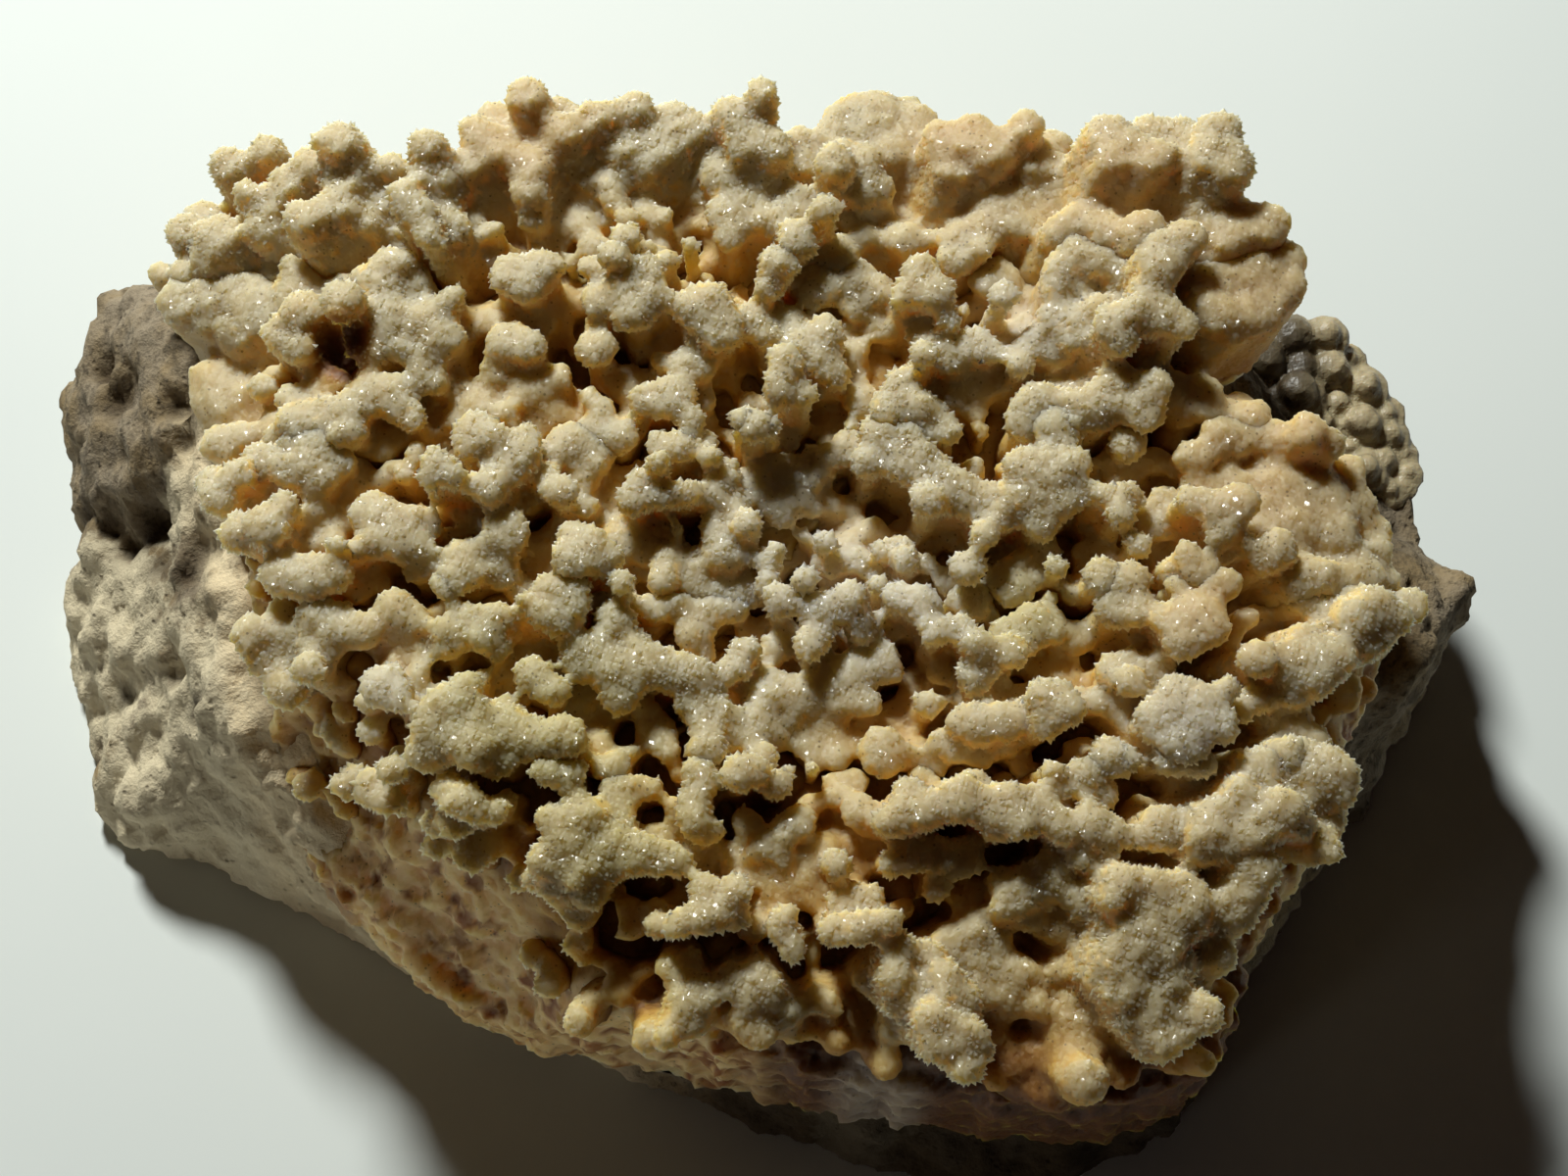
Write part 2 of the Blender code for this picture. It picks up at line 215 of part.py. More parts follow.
    (21.4, -19.8, 1.8, -2), (22.8, -23.8, 2.2, -2), (26.5, -22.5, 2, -3), (30.5, -23.4, 1.4, -2),
    (24.3, -14.8, 1.8, -2), (5.4, -27.3, 2.1, 0), (3.7, -28.8, 2.4, 0), (2, -30, 2, 0), (3.7, -30.7, 2, -0.5),
    (2, -32.4, 1.9, -1), (4.6, -32.8, 2.2, -1), (3.2, -34, 1.8, -1), (5.1, -34.3, 1.5, -1),
    (8.9, -27.8, 2, -3), (11, -29, 2.2, -3),
    # front left
    (-27.7, -14.6, 1.9, 0), (-29.1, -16.8, 2.6, 0), (-27.1, -17.7, 2.4, 0), (-31, -18.8, 2.4, 0),
    (-28.7, -20, 3, 0), (-26.7, -21.4, 2.6, 0), (-31.5, -21.3, 2.6, 0), (-23.5, -19, 3, -1),
    (-24.7, -21.8, 2.6, -1), (-21.4, -19.8, 2.8, -0.5), (-18.2, -19.8, 2.6, 0), (-16.8, -20.4, 1.8, 0),
    (-17.6, -23.6, 2.2, 0), (-19.6, -23.2, 1.8, 0), (-21.3, -13, 2.3, -1), (-19.2, -14.8, 2, -1),
    (-27.5, -26.2, 2.4, 0), (-28.6, -27.4, 2.4, 0), (-31.1, -27, 2, 0), (-31.4, -28.7, 1.8, 0),
    (-26.4, -27.6, 1.5, 0), (-27.4, -29.6, 2.6, -2), (-39.9, -22, 2.3, 0), (-37.6, -22.9, 2.6, 0),
    (-35.3, -22.2, 2.1, 0), (-36, -24.3, 2, 0), (-39, -24.2, 1.8, 0), (-42.6, -25.2, 1.8, -1),
    (-42.4, -27.4, 1.8, -2), (-36, -14.5, 2.6, -1), (-34.5, -15.8, 1.8, -1), (-15.9, -27.6, 3, 0),
    (-17, -29.3, 3.4, 0), (-19, -31.8, 2.8, 0), (-15.6, -31.8, 3.2, 0), (-17.9, -33.7, 3, -0.5),
    (-15.1, -34.2, 2.8, -0.5), (-20.4, -32.8, 2, -1), (-16.2, -36, 2.6, -1.5), (-12.6, -30.4, 2.6, 0),
    (-10.5, -31.2, 2.8, 0), (-8, -31.7, 2.4, 0), (-6.2, -32.4, 1.7, 0), (-12.4, -28.6, 2.5, -1.5),
    (-8.3, -28.5, 2, -2), (-13, -22, 2.4, -2), (-12.5, -24.2, 2.2, -2), (-12.2, -26.2, 2, -2),
    (-21.9, -37.5, 2, -1.5), (-19.9, -39.1, 1.8, -1), (-19.9, -41.4, 1.9, -1.5), (-24.5, -38, 2.4, -3),
    (-0.6, -35, 1.9, 0), (-2, -36.3, 2.2, 0), (-4, -37.7, 2.4, 0), (-6.3, -38.4, 1.9, -0.5),
    (-8.2, -37.8, 2, -3), (-7.4, -41.5, 2, 0), (-5.1, -43.2, 2.1, 0), (-5.7, -45.4, 2.6, 0), (-4, -44.8, 1.9, 0),
    (-4.8, -46.8, 2, -0.5), (-1.2, -43, 2.2, 0), (1.4, -42.7, 2.6, 0), (2.5, -44.4, 2.2, 0), (0.6, -44.8, 1.9, 0),
    (0.6, -47.3, 2.2, -1), (1.7, -48.4, 1.5, -1.5), (3.7, -38.4, 2.2, 0), (4.8, -40.4, 2.1, 0),
    (-9.6, -48.6, 1.6, -3), (-16.5, -46.6, 1.6, -3), (-16.5, -45.3, 1.3, -3), (-7.6, -49, 1.3, -3),
    # front right
    (10.3, -35.1, 2.2, 0), (12.6, -35.3, 1.9, 0), (11.7, -38.8, 2.4, 0), (14.1, -38.4, 1.9, 0),
    (8.8, -39.2, 2.2, -1), (15.2, -40.4, 2, -1), (15.9, -35.3, 1.6, -2), (9.1, -32.3, 2, -3),
    (14.9, -43.5, 2.5, 0), (15, -45.2, 2.1, -1), (23.3, -37.8, 2, 0), (20.6, -39, 2.4, 0), (18.5, -40.9, 1.7, 0),
    (23, -40.2, 2.4, 0), (25.3, -39, 1.9, -0.5), (25.3, -41.8, 2.4, 0), (27.4, -42.1, 1.8, 0),
    (24.8, -43.7, 2.2, 0), (19.7, -43.8, 2.2, 0), (19.2, -44.8, 1.7, 0), (21.5, -45.8, 2.2, -0.5),
    (18.5, -48.1, 2, -0.5), (18.8, -50, 2.2, -1), (21.4, -49.4, 2.2, -1), (21.6, -51.5, 2.2, -1.5),
    (22.8, -50.5, 1.6, -1.5), (29.8, -32.6, 2.2, 0), (28, -34.3, 2.8, 0), (30.6, -34, 2.4, 0),
    (26.5, -35.4, 2.2, 0), (33, -35.1, 2.2, 0), (33.3, -36.4, 1.7, 0), (25.6, -36.5, 1.6, 0),
    (28.3, -36.6, 2.4, -1), (30.6, -37.3, 2.4, -2), (33, -31.9, 1.8, 0), (37, -35, 2.5, 0), (36, -36.5, 1.7, 0),
    (35.9, -38, 2, -2), (40.3, -35.1, 1.9, 0), (43.3, -36.2, 2.6, 0), (41.2, -37.5, 2.8, 0), (43.9, -38, 2.1, 0),
    (39.7, -38.6, 2.1, 0), (38, -40.7, 2.8, 0), (41.2, -40.2, 2.6, 0), (36.5, -42, 2.2, 0), (38, -43.2, 2.8, 0),
    (37.1, -44.8, 2.4, 0), (40.4, -42.3, 2, -0.5), (41.6, -43.8, 1.7, -0.5), (37.8, -47, 2.2, -1),
    (40.2, -46.3, 1.9, -0.5), (40.6, -49, 2.8, -1.5), (45, -47.2, 1.9, -1.5), (45.2, -51, 1.5, -3),
    (46.6, -40.8, 2.2, -2), (33.2, -46.4, 2.6, -1), (32, -48.8, 2.2, -1.5), (33.8, -49.4, 2, -1.5),
    (50.5, -33.6, 2.1, 0), (49.4, -35.5, 2.4, 0), (48.3, -37.1, 2.4, -0.5), (14.3, -28.7, 2.1, 0),
    (16, -27.6, 2.4, 0), (18.2, -27.6, 2.8, 0), (21, -26.8, 2.8, 0), (23.3, -27, 2.8, 0), (25.9, -26.9, 2.8, 0),
    (27, -29, 2.4, 0), (16.7, -31.4, 2.4, -1), (14.7, -32.2, 1.9, -1), (19, -31.1, 2.4, -1.5),
    (21.9, -31.3, 2.6, -2), (29.2, -27.5, 2.8, -1), (31, -29, 2.4, -1), (34.1, -29, 2.6, 0), (36, -29.9, 2.4, -0.5),
    (29.7, -51.5, 3.5, -5), (26.5, -50, 3, -5), (33.5, -53, 2.5, -5),
)

# Small round knobs on the shelf: x, y and radius. They sit a little way into their own thin bed.
SHELF_KNOBS = (
    (62, 36.5, 2.2), (65.5, 36.6, 1.9), (59, 33, 2.4), (63, 33.2, 2.4), (67, 33, 1.8), (68.4, 35.2, 1.5),
    (70.6, 31.4, 1.6), (67.8, 29.5, 1.5), (72.8, 28.4, 1.4), (70, 26.4, 1.9), (73.4, 25.2, 1.5),
    (74.8, 23, 1.4), (72.2, 22, 1.5), (75, 20.4, 1.3), (72.6, 18.8, 1.6), (70, 20.6, 1.4), (66, 26, 1.6),
    (62.5, 29, 2.1), (66, 22.4, 1.4), (69, 23.6, 1.3),
)
SHELF_BED = 1.3
SHELF_GRAIN = 0.6
SHELF_TRIANGLES = 900


def smooth_step(t):
    t = max(0.0, min(1.0, t))
    return t * t * (3.0 - 2.0 * t)


def hump(x, y, centre_x, centre_y, width):
    return math.exp(-((x - centre_x) ** 2 + (y - centre_y) ** 2) / (2.0 * width * width))


def bed_level(x, y):
    """Height of the crust's bed, in millimetres: raised at the back, falling to the front and left."""
    level = BED_HEIGHT + 6.0 * hump(x, y, 46, 34, 14) + 3.0 * hump(x, y, -22, 40, 20)
    level -= 4.0 * hump(x, y, 6, -4, 16)
    level -= FRONT_FALL * smooth_step((-y - 22.0) / 26.0)
    level -= LEFT_FALL * smooth_step((-x - 40.0) / 22.0)
    level -= 3.0 * smooth_step((x - 58.0) / 12.0)
    return level


def new_object(name, mesh):
    obj = bpy.data.objects.new(name, mesh)
    bpy.context.scene.collection.objects.link(obj)
    return obj


def mesh_from(bm, name):
    mesh = bpy.data.meshes.new(name)
    bm.to_mesh(mesh)
    bm.free()
    return mesh


def evaluated_mesh(obj, name):
    bpy.context.view_layer.update()
    graph = bpy.context.evaluated_depsgraph_get()
    return bpy.data.meshes.new_from_object(obj.evaluated_get(graph))


def fused(mesh, grain, triangles=None):
    """One closed skin around all the overlapping solids of a mesh, thinned to a triangle count."""
    obj = new_object("fuse", mesh)
    skin = obj.modifiers.new("skin", "REMESH")
    skin.mode = "VOXEL"
    skin.voxel_size = grain * MM
    skin.use_smooth_shade = False
    result = evaluated_mesh(obj, "skin")
    bpy.data.objects.remove(obj)
    if triangles is None:
        return result
    return thinned(result, triangles)


def thinned(mesh, triangles):
    obj = new_object("thin", mesh)
    mesh.calc_loop_triangles()
    thin = obj.modifiers.new("thin", "DECIMATE")
    thin.ratio = min(1.0, triangles / max(1, len(mesh.loop_triangles)))
    result = evaluated_mesh(obj, "thin")
    bpy.data.objects.remove(obj)
    return result


def largest_piece(mesh):
    """Keep only the largest connected shell of a mesh."""
    bm = bmesh.new()
    bm.from_mesh(mesh)
    bm.verts.ensure_lookup_table()
    seen = set()
    shells = []
    for start in bm.verts:
        if start.index in seen:
            continue
        shell = []
        heap = [start]
        seen.add(start.index)
        while heap:
            vert = heap.pop()
            shell.append(vert)
            for edge in vert.link_edges:
                other = edge.other_vert(vert)
                if other.index not in seen:
                    seen.add(other.index)
                    heap.append(other)
        shells.append(shell)
    shells.sort(key=len)
    for shell in shells[:-1]:
        bmesh.ops.delete(bm, geom=shell, context="VERTS")
    bmesh.ops.triangulate(bm, faces=bm.faces[:])
    bmesh.ops.recalc_face_normals(bm, faces=bm.faces[:])
    bm.to_mesh(mesh)
    bm.free()
    return mesh


def material(name, colour, roughness):
    made = bpy.data.materials.new(name)
    made.use_nodes = True
    shader = made.node_tree.nodes["Principled BSDF"]
    shader.inputs["Base Color"].default_value = (*colour, 1.0)
    shader.inputs["Roughness"].default_value = roughness
    return made


def rock_mesh():
    """The limestone: three blocks fused, roughened like a broken face, cut flat underneath."""
    bm = bmesh.new()
    for corners in (BLOCK_CORNERS, SHELF_CORNERS, POINT_CORNERS):
        verts = [bm.verts.new(Vector(corner) * MM) for corner in corners]
        hull = bmesh.ops.convex_hull(bm, input=verts)
        spare = [item for item in hull["geom_interior"] if isinstance(item, bmesh.types.BMVert)]
        bmesh.ops.delete(bm, geom=spare, context="VERTS")
    bmesh.ops.recalc_face_normals(bm, faces=bm.faces[:])
    mesh = fused(mesh_from(bm, "blocks"), ROCK_GRAIN)

    bm = bmesh.new()
    bm.from_mesh(mesh)
    bm.normal_update()
    shifts = []
    for vert in bm.verts:
        place = vert.co / MM
        broad = noise.fractal(place / 13.0, 1.0, 2.0, 3)
        chipped = noise.fractal(place / 4.5 + Vector((7, 3, 1)), 0.9, 2.0, 2)
        shifts.append(vert.normal * (ROCK_BUMP * broad + 0.45 * ROCK_BUMP * chipped) * MM)
    for vert, shift in zip(bm.verts, shifts):
        vert.co += shift
    mesh = thinned(mesh_from(bm, "rough"), ROCK_TRIANGLES)

    bm = bmesh.new()
    bm.from_mesh(mesh)
    low = min(vert.co.x for vert in bm.verts)
    high = max(vert.co.x for vert in bm.verts)
    near = min(vert.co.y for vert in bm.verts)
    far = max(vert.co.y for vert in bm.verts)
    stretch_x = ROCK_LENGTH * MM / (high - low)
    stretch_y = ROCK_DEPTH * MM / (far - near)
    for vert in bm.verts:
        vert.co.x = (vert.co.x - (low + high) / 2) * stretch_x
        vert.co.y = (vert.co.y - (near + far) / 2) * stretch_y
    cut = bmesh.ops.bisect_plane(
        bm, geom=bm.verts[:] + bm.edges[:] + bm.faces[:], dist=1e-7,
        plane_co=(0, 0, 0), plane_no=(0, 0, 1), clear_inner=True)
    rim = [item for item in cut["geom_cut"] if isinstance(item, bmesh.types.BMEdge)]
    bmesh.ops.edgenet_fill(bm, edges=rim)
    for vert in bm.verts:
        if abs(vert.co.z) < 1e-6:
            vert.co.z = 0.0
    return largest_piece(mesh_from(bm, "rock"))


def add_bed(bm):
    """The crust's bed: a domed sheet out to the rim, with a wall down to the rim's lower edge."""
    steps = 3
    rim = []
    for index, point in enumerate(RIM):
        following = RIM[(index + 1) % len(RIM)]
        for step in range(steps):
            rim.append(Vector(point).lerp(Vector(following), step / steps))
    shares = (0.15, 0.3, 0.45, 0.6, 0.72, 0.82, 0.9, 0.95, 0.98, 1.0)
    rings = []
    for share in shares:
        ring = []
        for point in rim:
            x = point.x * share
            y = point.y * share
            ripple = 1.1 * noise.fractal(Vector((x / 7.0, y / 7.0, 4.0)), 1.0, 2.0, 2)
            droop = 2.6 * smooth_step((share - 0.9) / 0.1)
            z = max(bed_level(x, y) + ripple - droop, point.z + 1.5)
            ring.append(bm.verts.new(Vector((x, y, z)) * MM))
        rings.append(ring)
    for level in (0.66, 0.33, 0.0):
        ring = []
        for top, point in zip(rings[len(shares) - 1], rim):
            z = point.z + (top.co.z / MM - point.z) * level
            bulge = 1.0 + 0.012 * math.sin(math.pi * level)
            ring.append(bm.verts.new(Vector((point.x * bulge, point.y * bulge, z)) * MM))
        rings.append(ring)
    top = bm.verts.new(Vector((0, 0, bed_level(0, 0))) * MM)
    bottom = bm.verts.new(Vector((0, 0, 10)) * MM)
    count = len(rim)
    for i in range(count):
        j = (i + 1) % count
        bm.faces.new((top, rings[0][i], rings[0][j]))
        bm.faces.new((bottom, rings[-1][j], rings[-1][i]))
        for inner, outer in zip(rings, rings[1:]):
            bm.faces.new((inner[i], outer[i], outer[j], inner[j]))


def knob_frame(x, y, rise):
    """Tip and root of a knob: it leans outward, most at the rim of the crust."""
    tip = Vector((x, y, bed_level(x, y) + KNOB_REACH + rise))
    out = Vector((x / 70.0, y / 54.0, 0.0))
    lean = math.radians(RIM_LEAN) * min(1.0, out.length) ** 2
    away = Vector((x, y, 0.0)).normalized() if out.length > 1e-6 else Vector((0, 0, 0))
    depth = KNOB_REACH + rise + 4.0
    root = tip - Vector((0, 0, depth)) - away * (depth * math.tan(lean))
    return tip, root


def add_knob(bm, x, y, radius, rise):
    tip, root = knob_frame(x, y, rise)
    centre = tip - Vector((0, 0, radius * 1.1))
    shape = Matrix.Diagonal((radius, radius, radius * 1.1, 1.0))
    place = Matrix.Scale(MM, 4) @ Matrix.Translation(centre) @ shape
    bmesh.ops.create_icosphere(bm, subdivisions=2, radius=1.0, matrix=place)
    along = centre - root
    turn = Vector((0, 0, 1)).rotation_difference(along).to_matrix().to_4x4()
    middle = Matrix.Translation((centre + root) / 2)
    bmesh.ops.create_cone(
        bm, cap_ends=True, segments=8, radius1=radius * STALK_SHARE, radius2=radius * 0.86,
        depth=along.length, matrix=Matrix.Scale(MM, 4) @ middle @ turn)


def swollen(mesh, amount):
    """A copy of a mesh grown outward, used to keep a gap between touching solids."""
    bm = bmesh.new()
    bm.from_mesh(mesh)
    bm.normal_update()
    moves = [vert.normal * amount * MM for vert in bm.verts]
    for vert, move in zip(bm.verts, moves):
        vert.co += move
    return mesh_from(bm, "swollen")


def cut_by(mesh, cutter_mesh):
    obj = new_object("cut", mesh)
    cutter = new_object("cutter", cutter_mesh)
    cutter.hide_render = True
    cutter.display_type = "WIRE"
    cut = obj.modifiers.new("cut", "BOOLEAN")
    cut.operation = "DIFFERENCE"
    cut.solver = "EXACT"
    cut.object = cutter
    result = evaluated_mesh(obj, "cut")
    bpy.data.objects.remove(obj)
    bpy.data.objects.remove(cutter)
    return largest_piece(result)


def crust_mesh(rock):
    bm = bmesh.new()
    add_bed(bm)
    for knob in KNOBS:
        add_knob(bm, *knob)
    bmesh.ops.recalc_face_normals(bm, faces=bm.faces[:])
    whole = fused(mesh_from(bm, "crust"), CRUST_GRAIN, CRUST_TRIANGLES)
    return cut_by(whole, swollen(rock, GAP))


def shelf_mesh(rock, crust):
    """Low knobs on the shelf, each on a short pad, joined through a thin bed on the limestone."""
    surface = new_object("surface", rock)
    bpy.context.view_layer.update()
    bm = bmesh.new()
    for x, y, radius in SHELF_KNOBS:
        hit, place, normal, _ = surface.ray_cast(Vector((x, y, 33)) * MM, Vector((0, 0, -1)))
        level = place.z / MM if hit else 24.0
        centre = Vector((x, y, level + radius * 0.55)) * MM
        bmesh.ops.create_icosphere(bm, subdivisions=2, radius=radius * MM, matrix=Matrix.Translation(centre))
        pad = Matrix.Translation(Vector((x, y, level)) * MM) @ Matrix.Diagonal((1.0, 1.0, 0.45, 1.0))
        bmesh.ops.create_icosphere(bm, subdivisions=2, radius=(radius + SHELF_BED) * MM, matrix=pad)
    bpy.data.objects.remove(surface)
    bmesh.ops.recalc_face_normals(bm, faces=bm.faces[:])
    whole = fused(mesh_from(bm, "shelf"), SHELF_GRAIN, SHELF_TRIANGLES)
    clear_of_rock = cut_by(whole, swollen(rock, GAP))
    return cut_by(clear_of_rock, swollen(crust, GAP))


for old in list(bpy.data.objects):
    bpy.data.objects.remove(old)

limestone = material("limestone", (0.27, 0.24, 0.20), 0.9)
calcite = material("calcite", (0.74, 0.66, 0.47), 0.4)
shelf_calcite = material("shelf_calcite", (0.50, 0.45, 0.36), 0.5)

rock_shape = rock_mesh()
crust_shape = crust_mesh(rock_shape)
shelf_shape = shelf_mesh(rock_shape, crust_shape)

for node, shape, skin in (
        ("limestone_matrix", rock_shape, limestone),
        ("calcite_crust", crust_shape, calcite),
        ("shelf_crust", shelf_shape, shelf_calcite)):
    shape.name = node
    shape.materials.clear()
    shape.materials.append(skin)
    new_object(node, shape)
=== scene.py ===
import math
import random

import bpy
import numpy as np
from mathutils import Euler, Matrix, Vector, noise


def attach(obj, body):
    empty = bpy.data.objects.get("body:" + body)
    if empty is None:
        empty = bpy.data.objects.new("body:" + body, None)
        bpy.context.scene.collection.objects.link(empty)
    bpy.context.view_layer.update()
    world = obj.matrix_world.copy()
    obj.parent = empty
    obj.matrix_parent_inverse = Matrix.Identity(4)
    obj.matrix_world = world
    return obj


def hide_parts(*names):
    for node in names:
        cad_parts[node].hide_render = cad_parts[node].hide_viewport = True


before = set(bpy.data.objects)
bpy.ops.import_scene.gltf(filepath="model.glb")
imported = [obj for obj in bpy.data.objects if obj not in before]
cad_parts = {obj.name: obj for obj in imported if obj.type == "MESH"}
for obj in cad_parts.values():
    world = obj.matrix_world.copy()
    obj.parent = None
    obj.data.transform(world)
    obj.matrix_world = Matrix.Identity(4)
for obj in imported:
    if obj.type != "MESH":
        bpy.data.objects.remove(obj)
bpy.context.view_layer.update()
mm = 0.001  # metres in a millimetre
print("frame loaded")


# small helpers used by every piece

def pickOnly(piece):
    bpy.ops.object.select_all(action="DESELECT")
    piece.select_set(True)
    bpy.context.view_layer.objects.active = piece


def applyModifiers(piece):
    pickOnly(piece)
    for modifier in list(piece.modifiers):
        bpy.ops.object.modifier_apply(modifier=modifier.name)


def joinAll(pieces, name):
    bpy.ops.object.select_all(action="DESELECT")
    for piece in pieces:
        piece.select_set(True)
    bpy.context.view_layer.objects.active = pieces[0]
    bpy.ops.object.join()
    joined = bpy.context.view_layer.objects.active
    joined.name = name
    joined.data.name = name
    return joined


def ownCopy(seed, place):
    piece = seed.copy()
    piece.data = seed.data.copy()
    piece.data.transform(place)
    bpy.context.scene.collection.objects.link(piece)
    return piece


def voxelRemesh(piece, grain):
    fuse = piece.modifiers.new("fuse", "REMESH")
    fuse.mode = "VOXEL"
    fuse.voxel_size = grain * mm
    fuse.adaptivity = 0.0
    applyModifiers(piece)


def roughen(piece, lumpSize, height, level=0.5, depth=2, group="", kind="CLOUDS"):
    # pushes the surface in and out by a cloud pattern; lumpSize and height in mm
    texture = bpy.data.textures.new("lumps", kind)
    texture.noise_scale = lumpSize * mm
    if kind == "CLOUDS":
        texture.noise_depth = depth
    push = piece.modifiers.new("push", "DISPLACE")
    push.texture = texture
    push.texture_coords = "LOCAL"
    push.strength = height * mm
    push.mid_level = level
    if group:
        push.vertex_group = group
    applyModifiers(piece)


def easedSmooth(piece, turns):
    ease = piece.modifiers.new("ease", "SMOOTH")
    ease.factor = 0.5
    ease.iterations = turns
    applyModifiers(piece)


def readPoints(piece):
    points = np.empty(len(piece.data.vertices) * 3)
    piece.data.vertices.foreach_get("co", points)
    return points.reshape(-1, 3) / mm


def writePoints(piece, points):
    piece.data.vertices.foreach_set("co", (points * mm).ravel())
    piece.data.update()


def readNormals(piece):
    normals = np.empty(len(piece.data.vertices) * 3)
    piece.data.vertices.foreach_get("normal", normals)
    return normals.reshape(-1, 3)


def paint(piece, name, amounts):
    # stores one number per point, for the materials to read
    layer = piece.data.attributes.get(name) or piece.data.attributes.new(name, "FLOAT", "POINT")
    layer.data.foreach_set("value", np.clip(amounts, 0.0, 1.0).astype(np.float32))


def addWeights(piece, name, weights):
    group = piece.vertex_groups.new(name=name)
    for index, weight in enumerate(weights):
        group.add([index], float(weight), "REPLACE")


def giveMaterial(piece, material):
    piece.data.materials.clear()
    piece.data.materials.append(material)


def triangleCount(piece):
    return sum(len(face.vertices) - 2 for face in piece.data.polygons)


def eased(t):
    t = np.clip(t, 0.0, 1.0)
    return t * t * (3.0 - 2.0 * t)


def ramp(value, start, length):
    # goes softly from 0 at start to 1 at start + length
    return eased((value - start) / length)


def hump(x, y, centreX, centreY, width):
    return np.exp(-((x - centreX) ** 2 + (y - centreY) ** 2) / (2.0 * width * width))


def spots(x, y, rows):
    # the strongest of several soft round patches, each row being x, y, width
    return np.max([hump(x, y, *row) for row in rows], axis=0)


gridSide = 32
softGrid = np.random.default_rng(4).random((gridSide, gridSide, gridSide))


def cloudAt(points, size, shift=0):
    # soft random number from 0 to 1 at each point, in blotches about size mm across
    steps = points / size + shift
    cell = np.floor(steps).astype(int)
    fx, fy, fz = eased(steps - cell).T
    total = np.zeros(len(points))
    for corner in range(8):
        i, j, k = corner & 1, corner >> 1 & 1, corner >> 2 & 1
        weight = (fx if i else 1 - fx) * (fy if j else 1 - fy) * (fz if k else 1 - fz)
        total += weight * softGrid[tuple(((cell + (i, j, k)) % gridSide).T)]
    return total


def mottle(points, size, strength):
    # the same pattern, evenly above and below nought
    return strength * (cloudAt(points, size) - 0.5)


# camera at the photograph's angle, looking down at the front of the specimen
cameraPlace = {
    "elevation": 68.0,  # degrees above the table
    "distance": 266.6,  # mm
    "aim": (4.0, -3.5, 48.0),  # mm
    "lens": 60.0,  # mm
    "sensor": 36.0,  # mm wide
    "nearest": 0.01,  # metres
}


def addCamera(place):
    tilt = math.radians(place["elevation"])
    away = Vector((0, -math.cos(tilt), math.sin(tilt))) * place["distance"]
    bpy.ops.object.camera_add(
        location=(Vector(place["aim"]) + away) * mm,
        rotation=(math.radians(90) - tilt, 0, 0))
    camera = bpy.context.object
    camera.data.lens = place["lens"]
    camera.data.sensor_width = place["sensor"]
    camera.data.clip_start = place["nearest"]
    bpy.context.scene.camera = camera


addCamera(cameraPlace)


# one soft lamp from the back left, and a little light from all round
lampPlace = {
    "aim": (0.0, 0.0, 30.0),  # mm
    "compass": 112.0,  # degrees from the right-hand side, anticlockwise seen from above
    "elevation": 42.0,  # degrees above the table
    "distance": 720.0,  # mm
    "width": 130.0,  # mm
    "power": 6.35,  # watts
    "colour": "#FCFFFA",
    "roomColour": "#FFC8B6",
    "roomStrength": 0.009,
}


def sRgb(code):
    # a colour written as in a paint program, as the linear numbers that materials take
    parts = [int(code[i:i + 2], 16) / 255 for i in (1, 3, 5)]
    linear = [p / 12.92 if p <= 0.04045 else ((p + 0.055) / 1.055) ** 2.4 for p in parts]
    return (*linear, 1.0)


def addLight(place, name):
    turn = math.radians(place["compass"])
    rise = math.radians(place["elevation"])
    towards = Vector((math.cos(turn) * math.cos(rise), math.sin(turn) * math.cos(rise), math.sin(rise)))
    spot = (Vector(place["aim"]) + towards * place["distance"]) * mm
    bpy.ops.object.light_add(type="AREA", location=spot, rotation=towards.to_track_quat("Z", "Y").to_euler())
    lamp = bpy.context.object
    lamp.name = name
    lamp.data.shape = "DISK"
    lamp.data.size = place["width"] * mm
    lamp.data.energy = place["power"]
    lamp.data.color = sRgb(place["colour"])[:3]


def addRoom(place):
    room = bpy.data.worlds.new("room")
    room.use_nodes = True
    back = room.node_tree.nodes["Background"]
    back.inputs["Color"].default_value = sRgb(place["roomColour"])
    back.inputs["Strength"].default_value = place["roomStrength"]
    bpy.context.scene.world = room
    bpy.context.scene.view_settings.view_transform = "Standard"


# a weak lamp low in front, for the light that a pale surface throws back there
cardPlace = {
    "aim": (-30.0, -20.0, 20.0),  # mm
    "compass": 228.0,  # degrees, as for the lamp
    "elevation": 4.0,
    "distance": 420.0,  # mm
    "width": 90.0,  # mm
    "power": 0.12,  # watts
    "colour": "#FFF6E8",
}


addLight(lampPlace, "softLamp")
addLight(cardPlace, "bounceCard")
addRoom(lampPlace)
print("camera and lamp placed")


# outline of the crust's bed: x, y and the height of its lower edge, in mm
bedRim = (
    (-63, 36, 30), (-61, 28, 30), (-59, 20, 29), (-57, 11, 28), (-54, 3, 27), (-52, -6, 25), (-51, -15, 20),
    (-50, -23, 13), (-46, -28, 10), (-40, -32, 9), (-36, -37, 9), (-30, -41, 9), (-22, -44, 9),
    (-10, -46, 10), (0, -49, 12), (8, -51, 14), (18, -53, 14), (28, -54, 13), (38, -54, 12), (45, -52, 12),
    (50, -46, 15), (52, -38, 19), (56, -32, 20), (60, -26, 22), (62, -18, 24), (67, -10, 27), (70, -3, 29),
    (68, 5, 29), (63, 11, 30), (57, 15, 31), (51, 19, 33), (50, 23, 35), (54, 25, 37), (58, 28, 38),
    (59, 33, 39), (56, 39, 40), (50, 44, 40), (43, 47, 40), (34, 49, 40), (24, 50, 40), (12, 52, 40),
    (0, 52, 40), (-12, 51, 40), (-24, 51, 40), (-34, 49, 38), (-46, 47, 36), (-56, 45, 34), (-62, 41, 31),
)

